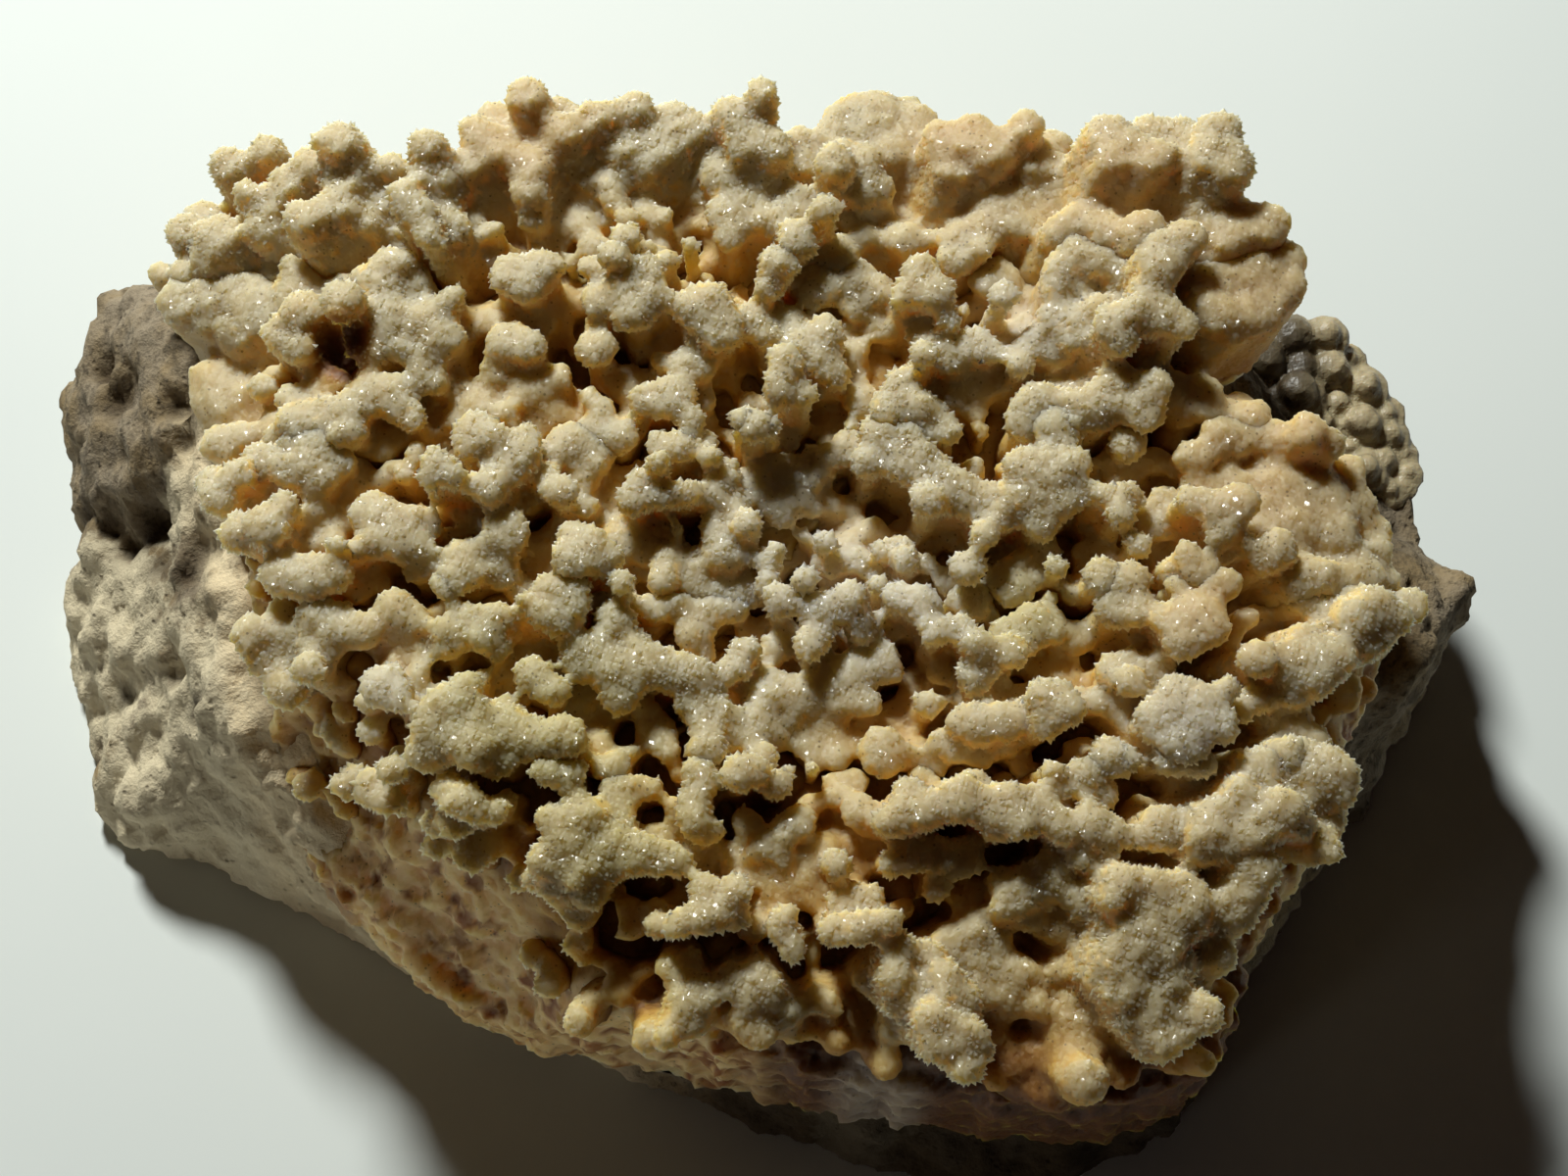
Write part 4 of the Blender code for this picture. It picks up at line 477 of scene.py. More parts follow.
    (8.8, -39.2, 2.2, -1), (15.2, -40.4, 2, -1), (15.9, -35.3, 1.6, -2), (9.1, -32.3, 2, -3),
    (14.9, -43.5, 2.5, 0), (15, -45.2, 2.1, -1), (23.3, -37.8, 2, 0), (20.6, -39, 2.4, 0),
    (18.5, -40.9, 1.7, 0), (23, -40.2, 2.4, 0), (25.3, -39, 1.9, -0.5), (25.3, -41.8, 2.4, 0),
    (27.4, -42.1, 1.8, 0), (24.8, -43.7, 2.2, 0), (19.7, -43.8, 2.2, 0), (19.2, -44.8, 1.7, 0),
    (21.5, -45.8, 2.2, -0.5), (18.5, -48.1, 2, -0.5), (18.8, -50, 2.2, -1), (21.4, -49.4, 2.2, -1),
    (21.6, -51.5, 2.2, -1.5), (22.8, -50.5, 1.6, -1.5), (29.8, -32.6, 2.2, 0), (28, -34.3, 2.8, 0),
    (30.6, -34, 2.4, 0), (26.5, -35.4, 2.2, 0), (33, -35.1, 2.2, 0), (33.3, -36.4, 1.7, 0),
    (25.6, -36.5, 1.6, 0), (28.3, -36.6, 2.4, -1), (30.6, -37.3, 2.4, -2), (33, -31.9, 1.8, 0),
    (37, -35, 2.5, 0), (36, -36.5, 1.7, 0), (35.9, -38, 2, -2), (40.3, -35.1, 1.9, 0),
    (43.3, -36.2, 2.6, 0), (41.2, -37.5, 2.8, 0), (43.9, -38, 2.1, 0), (39.7, -38.6, 2.1, 0),
    (38, -40.7, 2.8, 0), (41.2, -40.2, 2.6, 0), (36.5, -42, 2.2, 0), (38, -43.2, 2.8, 0),
    (37.1, -44.8, 2.4, 0), (40.4, -42.3, 2, -0.5), (41.6, -43.8, 1.7, -0.5), (37.8, -47, 2.2, -1),
    (40.2, -46.3, 1.9, -0.5), (40.6, -49, 2.8, -1.5), (45, -47.2, 1.9, -1.5), (45.2, -51, 1.5, -3),
    (46.6, -40.8, 2.2, -2), (33.2, -46.4, 2.6, -1), (32, -48.8, 2.2, -1.5), (33.8, -49.4, 2, -1.5),
    (50.5, -33.6, 2.1, 0), (49.4, -35.5, 2.4, 0), (48.3, -37.1, 2.4, -0.5), (14.3, -28.7, 2.1, 0),
    (16, -27.6, 2.4, 0), (18.2, -27.6, 2.8, 0), (21, -26.8, 2.8, 0), (23.3, -27, 2.8, 0),
    (25.9, -26.9, 2.8, 0), (27, -29, 2.4, 0), (16.7, -31.4, 2.4, -1), (14.7, -32.2, 1.9, -1),
    (19, -31.1, 2.4, -1.5), (21.9, -31.3, 2.6, -2), (29.2, -27.5, 2.8, -1), (31, -29, 2.4, -1),
    (34.1, -29, 2.6, 0), (36, -29.9, 2.4, -0.5), (29.7, -51.5, 3.5, -5), (26.5, -50, 3, -5),
    (33.5, -53, 2.5, -5),
)


# broken slope at the front left, where the crust comes down towards the limestone, in mm
wallSlope = {
    "start": (-52.0, -18.0),  # one end of the low edge
    "end": (-22.0, -46.0),
    "drop": 17.0,  # how far the crust comes down there
    "wide": 14.0,
    "startFade": (-8.0, 12.0),  # along the edge: where the slope sets in, and over what length
    "endFade": (-7.0, 16.0),  # the same for where it ends, counted from the other end
    "bareFrom": (3.0, 5.0),  # drop at which the broken wall shows, and over how much more
}


def slopeDrop(x, y):
    ax, ay = wallSlope["start"]
    bx, by = wallSlope["end"]
    long = math.hypot(bx - ax, by - ay)
    ux, uy = (bx - ax) / long, (by - ay) / long
    away = (x - ax) * -uy + (y - ay) * ux
    along = (x - ax) * ux + (y - ay) * uy
    ends = ramp(along, *wallSlope["startFade"]) * (1.0 - ramp(along - long, *wallSlope["endFade"]))
    return wallSlope["drop"] * ends * eased(1.0 - away / wallSlope["wide"])


# general shape of the crust: height of its bed between the knobs, in mm
bedShape = {
    "level": 42.0,
    "humps": ((6.0, 46, 34, 14), (3.0, -22, 40, 20), (-4.0, 6, -4, 16)),  # height, x, y, width
    "frontFall": (5.0, 22.0, 26.0),  # how far it falls, from how far out, and over what length
    "leftFall": (5.0, 40.0, 22.0),
    "rightFall": (3.0, 58.0, 12.0),
}


def bedLevel(x, y):
    level = bedShape["level"]
    for height, *place in bedShape["humps"]:
        level = level + height * hump(x, y, *place)
    for side, out in (("frontFall", -y), ("leftFall", -x), ("rightFall", x)):
        fall, *zone = bedShape[side]
        level = level - fall * ramp(out, *zone)
    return level - slopeDrop(x, y)


# crystal knobs: heads on stalks, fused in clumps, then covered with small crystal points
knobs = {
    "seed": 11,
    "reach": 9.0,  # mm from the bed up to the general level of the tips
    "highest": 57.2,  # mm above the table
    "unevenTips": 0.3,  # mm
    "headShare": 0.95,  # width of a head against the radius in its row
    "headSpread": (0.92, 1.1),
    "headHeight": 0.48,  # of the radius, up and down
    "headLumps": 0.07,  # of the radius
    "slimmer": 0.1,  # how much narrower the heads get towards the front
    "slimZone": (18.0, 10.0),  # mm in front of the middle, and over what length
    "rootDepth": 1.6,  # mm that a stalk goes into the bed
    "stalkShare": 0.52,  # girth of a stalk at its head
    "stalkFoot": 1.4,  # how much stouter it is at its foot
    "stalkLumps": 0.06,
    "crustHalf": (70.0, 54.0),  # mm from the middle of the crust to its rim, sideways and to the front
    "rimLean": 36.0,  # degrees that the knobs at the rim lean outward
    "rimGirth": 0.9,  # how much stouter the stalks are at the rim
    "rimZone": (0.72, 0.2),  # share of the way to the rim where that starts, and over what share
    "oneCap": 0.62,  # heads closer than this share of their radii together make one cap
    "capRise": (-3.2, 2.0),  # mm, caps stand lower or higher
    "frontUneven": 0.4,  # how much more so towards the front
    "unevenZone": (14.0, 12.0),  # mm, as slimZone
    "slopeLimit": 12.0,  # mm, heads further down the broken slope are left out
    "grain": 0.68,  # mm, size of one crystal point
    "gridTurn": (0.41, 0.63, 0.37),  # the grid for fusing is turned, so that no step lines up with a side
    "easing": 2,
    "lumps": ((3.4, 0.6), (1.2, 0.3)),  # mm across, and mm in and out
}
# more heads along the back edge, as knobHeads
backHeads = ((11.6, 54.2, 2.2, -1.0), (14.4, 54.5, 2.3, -0.8), (17.4, 54.1, 2.2, -1.4))
# lobes that bulge from the edge of a head, in shares of its radius
buds = {
    "count": 1,
    "size": (0.3, 0.62),
    "squash": (0.6, 0.9),
    "height": (-0.25, 0.45),  # 0 is the middle of the head and 1 its top
    "sunk": 0.75,  # share of a lobe that lies in the head
    "stray": 0.6,  # radians
}
fullTurn = 6.28  # radians
toMetres = Matrix.Scale(mm, 4)


def modelKnobSeeds():
    # one lumpy head and one lumpy stalk, both a unit in size
    bpy.ops.object.select_all(action="DESELECT")
    bpy.ops.mesh.primitive_ico_sphere_add(subdivisions=2, radius=1.0, location=(0, 0, 0))
    head = bpy.context.object
    bpy.ops.object.mode_set(mode="EDIT")
    bpy.ops.mesh.select_all(action="SELECT")
    bpy.ops.transform.vertex_random(offset=knobs["headLumps"], uniform=0.6, seed=3)
    bpy.ops.object.mode_set(mode="OBJECT")
    bpy.ops.mesh.primitive_cone_add(
        vertices=8, radius1=knobs["stalkShare"] * knobs["stalkFoot"], radius2=knobs["stalkShare"], depth=1.0)
    stalk = bpy.context.object
    bpy.ops.object.mode_set(mode="EDIT")
    bpy.ops.mesh.select_all(action="SELECT")
    bpy.ops.mesh.subdivide(number_cuts=1)
    bpy.ops.transform.vertex_random(offset=knobs["stalkLumps"], uniform=0.5, seed=5)
    bpy.ops.object.mode_set(mode="OBJECT")
    return head, stalk


def wayOut(x, y):
    # the way from the middle of the crust, 1 long at its rim
    halfWide, halfDeep = knobs["crustHalf"]
    return x / halfWide, y / halfDeep


def knobEnds(x, y, rise):
    tip = Vector((x, y, bedLevel(x, y) + knobs["reach"] + rise))
    lean = math.radians(knobs["rimLean"]) * min(1.0, Vector((*wayOut(x, y), 0.0)).length) ** 2
    away = Vector((x, y, 0.0)).normalized()
    depth = knobs["reach"] + rise + knobs["rootDepth"]
    return tip, tip - Vector((0, 0, depth)) - away * (depth * math.tan(lean))


def capRows(chance):
    # heads that overlap well belong to one cap, and a cap is raised or lowered as a whole
    rows = [row for row in (*knobHeads, *backHeads) if slopeDrop(row[0], row[1]) < knobs["slopeLimit"]]
    caps = list(range(len(rows)))
    for i, (x, y, radius, _) in enumerate(rows):
        for j, (x2, y2, radius2, _) in enumerate(rows[:i]):
            if math.hypot(x - x2, y - y2) < knobs["oneCap"] * (radius + radius2):
                old, new = caps[i], caps[j]
                caps = [new if cap == old else cap for cap in caps]
    rises = {}
    for cap in sorted(set(caps)):
        front = float(ramp(-rows[cap][1], *knobs["unevenZone"]))
        rises[cap] = chance.uniform(*knobs["capRise"]) * (1.0 + knobs["frontUneven"] * front)
    return [(x, y, radius, rise + rises[cap]) for (x, y, radius, rise), cap in zip(rows, caps)], caps


def budParts(head, centre, radius, spin, chance):
    # lobes round the edge of a head
    parts = []
    start = chance.uniform(0, fullTurn)
    for number in range(buds["count"]):
        turn = start + fullTurn * number / buds["count"] + chance.uniform(-buds["stray"], buds["stray"])
        height = chance.uniform(*buds["height"])
        flat = math.sqrt(1.0 - height * height)
        side = Vector((math.cos(turn) * flat, math.sin(turn) * flat, height))
        small = radius * chance.uniform(*buds["size"])
        side.z *= knobs["headHeight"]
        spot = centre + side * (radius - small * buds["sunk"])
        lobe = Matrix.Diagonal((small, small, small * chance.uniform(*buds["squash"]), 1.0))
        parts.append(ownCopy(head, toMetres @ Matrix.Translation(spot) @ lobe @ spin))
    return parts


def knobParts(seeds, row, chance):
    # a squat head, its stalk down into the bed, and its lobes
    head, stalk = seeds
    x, y, radius, rise = row
    rise += chance.uniform(-1, 1) * knobs["unevenTips"]
    tip, root = knobEnds(x, y, min(rise, knobs["highest"] - knobs["reach"] - bedLevel(x, y)))
    centre = tip - Vector((0, 0, radius * knobs["headHeight"]))
    spin = Euler([chance.uniform(0, fullTurn) for _ in range(3)]).to_matrix().to_4x4()
    wide = radius * (knobs["headShare"] - knobs["slimmer"] * float(ramp(-y, *knobs["slimZone"])))
    across = [wide * chance.uniform(*knobs["headSpread"]) for _ in range(2)]
    squat = Matrix.Diagonal((*across, radius * knobs["headHeight"], 1.0))
    along = centre - root
    aim = Vector((0, 0, 1)).rotation_difference(along).to_matrix().to_4x4()
    girth = radius * (1.0 + knobs["rimGirth"] * float(ramp(math.hypot(*wayOut(x, y)), *knobs["rimZone"])))
    size = Matrix.Diagonal((girth, girth, along.length, 1.0))
    middle = Matrix.Translation((centre + root) / 2)
    return [
        ownCopy(head, toMetres @ Matrix.Translation(centre) @ squat @ spin),
        ownCopy(stalk, toMetres @ middle @ aim @ size),
        *budParts(head, centre, radius, spin, chance)]


# low knobs in the gaps between the caps, and plugs for the holes inside a cap
gapKnobs = {
    "every": 2.6,  # mm between them
    "fieldX": (-66, 74),  # mm, where they are tried
    "fieldY": (-56, 54),
    "scatter": (0.1, 0.9),
    "radius": (1.1, 2.0),  # mm
    "rise": (-7.6, -3.6),  # mm, as for the heads
    "rimGap": 1.2,  # mm that they keep from the rim
    "headGap": -0.5,  # mm that they keep from a head, where less than 0 is inside it
    "rimDip": (1.5, 6.0),  # mm lower at the rim, and over what length
    "slopeFrom": -40,  # mm, left of this they stand on the broken slope too
    "slopeRadius": (1.5, 2.5),
    "slopeDrops": (4, 15),  # mm down the slope where it starts to count, and where they end
    "plugGap": 2.0,  # mm, a hole has its three nearest heads closer than this, all of one cap
    "plugRadius": 1.9,
    "plugSunk": 0.9,  # mm below the lowest of the three
}


def gapRows(heads, caps, chance):
    heads = np.array(heads, dtype=float)
    rows = []
    step = gapKnobs["every"]
    shallow, deepest = gapKnobs["slopeDrops"]
    dip, dipLength = gapKnobs["rimDip"]
    for i in range(*[int(end / step) for end in gapKnobs["fieldX"]]):
        for j in range(*[int(end / step) for end in gapKnobs["fieldY"]]):
            x = (i + chance.uniform(*gapKnobs["scatter"])) * step
            y = (j + chance.uniform(*gapKnobs["scatter"])) * step
            radius = chance.uniform(*gapKnobs["radius"])
            inside, _ = rimDistance(np.array([x]), np.array([y]))
            gaps = np.hypot(heads[:, 0] - x, heads[:, 1] - y) - heads[:, 2]
            near = np.argsort(gaps)[:3]
            onSlope = slopeDrop(x, y)
            left = x < gapKnobs["slopeFrom"]
            if left and onSlope > shallow:
                radius = chance.uniform(*gapKnobs["slopeRadius"])
            clear = inside[0] > gapKnobs["rimGap"] and gaps[near[0]] > gapKnobs["headGap"]
            if clear and onSlope < (deepest if left else shallow):
                rise = chance.uniform(*gapKnobs["rise"]) - dip * eased(1.0 - inside[0] / dipLength)
                if gaps[near[2]] < gapKnobs["plugGap"] and len(set(caps[place] for place in near)) == 1:
                    rise = min(heads[place, 3] for place in near) - gapKnobs["plugSunk"]
                    radius = gapKnobs["plugRadius"]
                rows.append((x, y, radius, rise))
    return rows


# small four-sided crystal points on the knobs
crystalPoints = {
    "tallest": 0.55,  # mm, at the tips of the knobs
    "lowest": 0.05,  # mm, down between them
    "endAt": 7.0,  # mm below the tips, where the points end
    "fade": (1.0, 6.0),  # mm below the tips where they start to get lower, and over what length
    "tallShare": 0.55,  # how many of the points are tall
    "tallSpread": (0.55, 1.15),
    "short": 0.15,  # height of the others
    "flatTops": 0.5,  # how much lower the points are where the surface faces up
    "upZone": (0.35, 0.5),
    "smoothed": 0.8,  # how much lower they are on the smooth places
    "stir": 0.1,  # mm that the faces are moved about before they get their points
    "scatter": 0.04,  # mm that a point strays
    "leastScatter": 0.3,
}
# places coated smooth and tan, with hardly any crystal points: x, y, width in mm
smoothPlaces = ((24, 46, 6), (40, 39, 5), (55, 11, 8), (54, 30, 6), (-24, 46, 5), (48, -6, 5))


def belowTips(x, y, z):
    return bedLevel(x, y) + knobs["reach"] - z


def growPoints(piece, seed):
    # turns each small face into a four-sided crystal point, tall at the tips and low between the knobs
    pickOnly(piece)
    before = len(piece.data.vertices)
    body = readNormals(piece)
    bpy.ops.object.mode_set(mode="EDIT")
    bpy.ops.mesh.select_mode(type="FACE")
    bpy.ops.mesh.select_all(action="SELECT")
    bpy.ops.transform.vertex_random(offset=crystalPoints["stir"] * mm, uniform=0.7, seed=seed)
    bpy.ops.mesh.select_all(action="DESELECT")
    bpy.ops.object.mode_set(mode="OBJECT")
    middles = np.empty(len(piece.data.polygons) * 3)
    piece.data.polygons.foreach_get("center", middles)
    high = belowTips(*middles.reshape(-1, 3).T / mm) < crystalPoints["endAt"]
    piece.data.polygons.foreach_set("select", high)
    bpy.ops.object.mode_set(mode="EDIT")
    bpy.ops.mesh.poke(offset=0.0, use_relative_offset=False)
    bpy.ops.object.mode_set(mode="OBJECT")
    points = readPoints(piece)
    normals = readNormals(piece)[before:]
    chance = np.random.default_rng(seed)
    x, y, z = points[before:].T
    count = len(x)
    share = 1.0 - ramp(belowTips(x, y, z), *crystalPoints["fade"])
    share = share * (1.0 - crystalPoints["flatTops"] * ramp(normals[:, 2], *crystalPoints["upZone"]))
    share = share * (1.0 - crystalPoints["smoothed"] * spots(x, y, smoothPlaces))
    tall = crystalPoints["lowest"] + (crystalPoints["tallest"] - crystalPoints["lowest"]) * share
    pick = np.where(
        chance.random(count) < crystalPoints["tallShare"],
        chance.uniform(*crystalPoints["tallSpread"], count), crystalPoints["short"])
    stray = chance.normal(0.0, crystalPoints["scatter"], (count, 3))
    points[before:] += normals * (tall * pick)[:, None]
    points[before:] += stray * (crystalPoints["leastScatter"] + share[:, None])
    writePoints(piece, points)
    directions = np.vstack((body, normals))
    paintBody(piece, directions)
    return directions


def paintBody(piece, directions):
    # the way the surface faces without its crystal points, which softens their shading as in clear crystals
    layer = piece.data.attributes.new("body", "FLOAT_VECTOR", "POINT")
    layer.data.foreach_set("vector", directions.astype(np.float32).ravel())


# where the colours of the crust lie: patches are x, y, width in mm, and clouds are mm across and strength
crustPaint = {
    "deepest": 12.0,  # mm below the tips; darker further down, partly iron stain and partly painted shade in the recesses
    "deepCloud": (5.0, 0.3),
    "deeperFront": 0.12,
    "front": (8.0, 30.0),  # mm in front of the middle, and over what length
    "darkPlaces": ((-42.5, 23.5, 2.4),),
    # cap: cream where the surface faces up, partly the pale crystal caps and partly painted light on the tops
    "capClouds": ((0.8, 0.35), (2.5, 0.2)),
    "capFrom": (0.7, 0.14),
    "capTo": (0.3, 0.5),
    "leftCap": (0.75, 52.0, 8.0),  # strength, mm left of the middle, and over what length
    "frostClouds": ((2.4, 0.7), (0.7, 0.6)),
    "frostCut": 0.15,
    "clearerFront": 0.7,
    "greenPlaces": ((-20, -20, 9), (-12, -30, 7), (-28, -14, 7), (-11, -44, 4), (28, -6, 4)),
    "whitePlaces": ((8, 0, 7), (16, -4, 6), (-36, -14, 3.5), (28, 26, 4), (44, -20, 4)),
    "green": 0.5,
    "white": 0.5,
    "whiteFade": (1.5, 0.5),  # how fast the white patches fade with depth, and how late
    "warm": 0.6,
}


def depthTone(points):
    return belowTips(*points.T) / crustPaint["deepest"] + mottle(points, *crustPaint["deepCloud"])


def paintCrust(piece, directions):
    # where a place lies on the crust decides its colour
    points = readPoints(piece)
    x, y, _ = points.T
    front = ramp(-y, *crustPaint["front"])
    # deeper is darker: partly iron stain, partly painted shade in the recesses
    deep = depthTone(points) + spots(x, y, crustPaint["darkPlaces"]) + crustPaint["deeperFront"] * front
    paint(piece, "deep", deep)
    # cream where the surface faces up: partly the crystal caps, partly painted light on the tops, with the
    # sides left tan
    up = 0.5 + 0.5 * directions[:, 2]
    for size, strength in crustPaint["capClouds"]:
        up = up + mottle(points, size, strength)
    cap = ramp(up, *crustPaint["capFrom"]) * (1.0 - ramp(deep, *crustPaint["capTo"]))
    leftShare, *leftZone = crustPaint["leftCap"]
    paint(piece, "cap", np.maximum(cap, leftShare * ramp(-x, *leftZone)))
    frost = sum(cloudAt(points, size) * strength for size, strength in crustPaint["frostClouds"])
    paint(piece, "frost", (frost - crustPaint["frostCut"]) * (1.0 - crustPaint["clearerFront"] * front))
    paint(piece, "green", crustPaint["green"] * spots(x, y, crustPaint["greenPlaces"]))
    fast, late = crustPaint["whiteFade"]
    shallow = 1.0 - eased(deep * fast - late)
    paint(piece, "white", crustPaint["white"] * shallow * spots(x, y, crustPaint["whitePlaces"]))
    paint(piece, "warm", crustPaint["warm"] * spots(x, y, smoothPlaces))
    paint(piece, "wall", np.zeros(len(points)))


def buildKnobs(name, rows, seeds, seed):
    chance = random.Random(seed)
    parts = []
    for row in rows:
        parts += knobParts(seeds, row, chance)
    piece = joinAll(parts, name)
    turn = Euler(knobs["gridTurn"]).to_matrix().to_4x4()
    piece.data.transform(turn)
    voxelRemesh(piece, knobs["grain"])
    piece.data.transform(turn.inverted())
    easedSmooth(piece, knobs["easing"])
    for size, height in knobs["lumps"]:
        roughen(piece, size, height)
    paintCrust(piece, growPoints(piece, seed))
    piece.data.shade_flat()
    giveMaterial(piece, calciteDruse)
    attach(piece, "root")
    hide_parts("calcite_crust")
    print(name, len(rows), "knobs,", triangleCount(piece), "triangles")


# bed of the crust, from which the knobs grow, in mm
crustBed = {
    "field": (140, 114),  # the sheet before it is cut to the outline
    "middle": (4, -1),
    "cell": 1.1,  # grid before it is fused
    "grain": 0.75,
    "thick": 12.0,
    "raised": -0.6,
    "ripple": 2.2,
    "rippleSize": 7,
    "rippleSlice": 4.0,  # which part of the endless pattern is used
    "rimDroop": 2.6,
    "droopZone": 5.0,
    "underRise": 6.0,  # how much higher the underside is away from the rim
    "underZone": 10.0,
    "leastEdge": 1.5,  # least thickness at the rim
    "leastThick": 1.4,
    "lumps": ((4.0, 1.6), (1.5, 0.7)),  # across, and in and out
    "wallLumps": ((3.2, 2.4, 4), (1.4, 1.0, 2)),  # the same, and steps of detail
    "wallLevel": 0.55,
    "wallRim": (1.0, 4.0),  # inside the rim: where the broken wall starts to fade, and over what length
}
# how the broken wall of the bed is coloured
wallPaint = {
    "share": 0.85,
    "rim": (2.0, 6.0),  # mm, as wallRim
    "clouds": ((3.0, 1.0), (1.1, 0.6)),  # mm across, strength
    "cloudLevel": 0.8,
    "cloudShare": 0.8,
    "lessLeft": 0.6,  # how much less of it shows on the left part of the slope
    "leftZone": (40.0, 6.0),
    "shadedRight": (-4.0, 10.0),  # painted shade: the underside at the front right loses the wall colour and is darkened
    "shadedFront": (34.0, 8.0),
    "shadedDeep": 0.3,
    "lighter": 0.6,
    "pitClouds": ((2.0, 7, 0.6), (0.9, 3, 0.5)),  # mm across, shift, strength
    "pitFrom": (0.55, 0.2),
    "whitePlaces": ((12, -50.6, 2.2), (16, -51.5, 1.6)),  # x, y, width in mm
}


def rimDistance(x, y):
    # signed distance in mm from the outline of the bed, positive inside, and the lower edge's height there
    corners = np.array(bedRim, dtype=float)
    nearest = np.full(len(x), 1e9)
    edgeZ = np.zeros(len(x))
    inside = np.zeros(len(x), dtype=bool)
    for a, b in zip(corners, np.roll(corners, -1, axis=0)):
        dx, dy = b[0] - a[0], b[1] - a[1]
        t = np.clip(((x - a[0]) * dx + (y - a[1]) * dy) / (dx * dx + dy * dy), 0, 1)
        gap = np.hypot(x - a[0] - t * dx, y - a[1] - t * dy)
        closer = gap < nearest
        nearest = np.where(closer, gap, nearest)
        edgeZ = np.where(closer, a[2] + (b[2] - a[2]) * t, edgeZ)
        if dy != 0:
            crosses = (a[1] > y) != (b[1] > y)
            inside ^= crosses & (x < a[0] + (y - a[1]) * dx / dy)
    return np.where(inside, nearest, -nearest), edgeZ


def cutBedSheet():
    # a fine grid, cut to the outline and pulled down to a slab
    wide, deep = crustBed["field"]
    bpy.ops.object.select_all(action="DESELECT")
    bpy.ops.mesh.primitive_grid_add(
        x_subdivisions=int(wide / crustBed["cell"]), y_subdivisions=int(deep / crustBed["cell"]),
        size=1.0, location=(0, 0, 0))
    bed = bpy.context.object
    bed.name = "crustBed"
    bpy.ops.transform.resize(value=(wide * mm, deep * mm, 1.0))
    bpy.ops.transform.translate(value=(crustBed["middle"][0] * mm, crustBed["middle"][1] * mm, 0))
    bpy.ops.object.transform_apply(location=True, rotation=True, scale=True)
    points = readPoints(bed)
    inside, _ = rimDistance(points[:, 0], points[:, 1])
    bpy.ops.object.mode_set(mode="EDIT")
    bpy.ops.mesh.select_mode(type="VERT")
    bpy.ops.mesh.select_all(action="DESELECT")
    bpy.ops.object.mode_set(mode="OBJECT")
    bed.data.vertices.foreach_set("select", inside < 0)
    bpy.ops.object.mode_set(mode="EDIT")
    bpy.ops.mesh.delete(type="VERT")
    bpy.ops.mesh.select_all(action="SELECT")
    bpy.ops.mesh.extrude_region_move(TRANSFORM_OT_translate={"value": (0, 0, -crustBed["thick"] * mm)})
    bpy.ops.mesh.select_all(action="SELECT")
    bpy.ops.mesh.normals_make_consistent(inside=False)
    bpy.ops.object.mode_set(mode="OBJECT")
    return bed


def shapeBed(bed):
    points = readPoints(bed)
    x, y, z = points.T
    inside, edgeZ = rimDistance(x, y)
    size = crustBed["rippleSize"]
    places = [Vector((a / size, b / size, crustBed["rippleSlice"])) for a, b in zip(x, y)]
    ripple = np.array([noise.fractal(place, 1.0, 2.0, 2) for place in places])
    droop = crustBed["rimDroop"] * eased(1.0 - inside / crustBed["droopZone"])
    top = bedLevel(x, y) + crustBed["raised"] + crustBed["ripple"] * ripple - droop
    top = np.maximum(top, edgeZ + crustBed["leastEdge"])
    under = edgeZ + crustBed["underRise"] * eased(inside / crustBed["underZone"])
    under = np.minimum(under, top - crustBed["leastThick"])
    points[:, 2] = np.where(z > -crustBed["thick"] / 2, top, under)
    writePoints(bed, points)
    voxelRemesh(bed, crustBed["grain"])


def wallShare(points, rimZone):
    # how much of a place is broken wall, at the rim and on the slope, and how much of it is slope
    x, y, _ = points.T
    inside, _ = rimDistance(x, y)
    slope = ramp(slopeDrop(x, y), *wallSlope["bareFrom"])
    return np.maximum(1.0 - ramp(inside, *rimZone), slope), slope


def roughenBed(bed):
    broken, _ = wallShare(readPoints(bed), crustBed["wallRim"])
    addWeights(bed, "wall", broken)
    for size, height in crustBed["lumps"]:
        roughen(bed, size, height)
    for size, height, depth in crustBed["wallLumps"]:
        roughen(bed, size, height, level=crustBed["wallLevel"], depth=depth, group="wall")
    bed.vertex_groups.clear()


def paintBed(bed):
    paintCrust(bed, readNormals(bed))
    points = readPoints(bed)
    x, y, _ = points.T
    broken, slope = wallShare(points, wallPaint["rim"])
    broken *= 1.0 - wallPaint["lessLeft"] * slope * ramp(-x, *wallPaint["leftZone"])
    # painted shade on the underside at the front right: no wall colour there, and darker
    shaded = ramp(x, *wallPaint["shadedRight"]) * ramp(-y, *wallPaint["shadedFront"])
    broken *= 1.0 - shaded
    clouds = sum(strength * cloudAt(points, size) for size, strength in wallPaint["clouds"])
    clouded = 1.0 + wallPaint["cloudShare"] * (clouds - wallPaint["cloudLevel"])
    paint(bed, "wall", wallPaint["share"] * broken * clouded)
    pits = sum(strength * cloudAt(points, size, shift) for size, shift, strength in wallPaint["pitClouds"])
    paint(bed, "pits", ramp(pits, *wallPaint["pitFrom"]))
    deep = depthTone(points) * (1.0 - wallPaint["lighter"] * broken) + wallPaint["shadedDeep"] * shaded
    paint(bed, "deep", deep)
    paint(bed, "white", crustPaint["white"] * spots(x, y, wallPaint["whitePlaces"]))
    paintBody(bed, readNormals(bed))


def buildBed():
    bed = cutBedSheet()
    shapeBed(bed)
    roughenBed(bed)
    paintBed(bed)
    giveMaterial(bed, calciteDruse)
    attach(bed, "root")
    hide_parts("calcite_crust")
    print("crustBed", triangleCount(bed), "triangles")


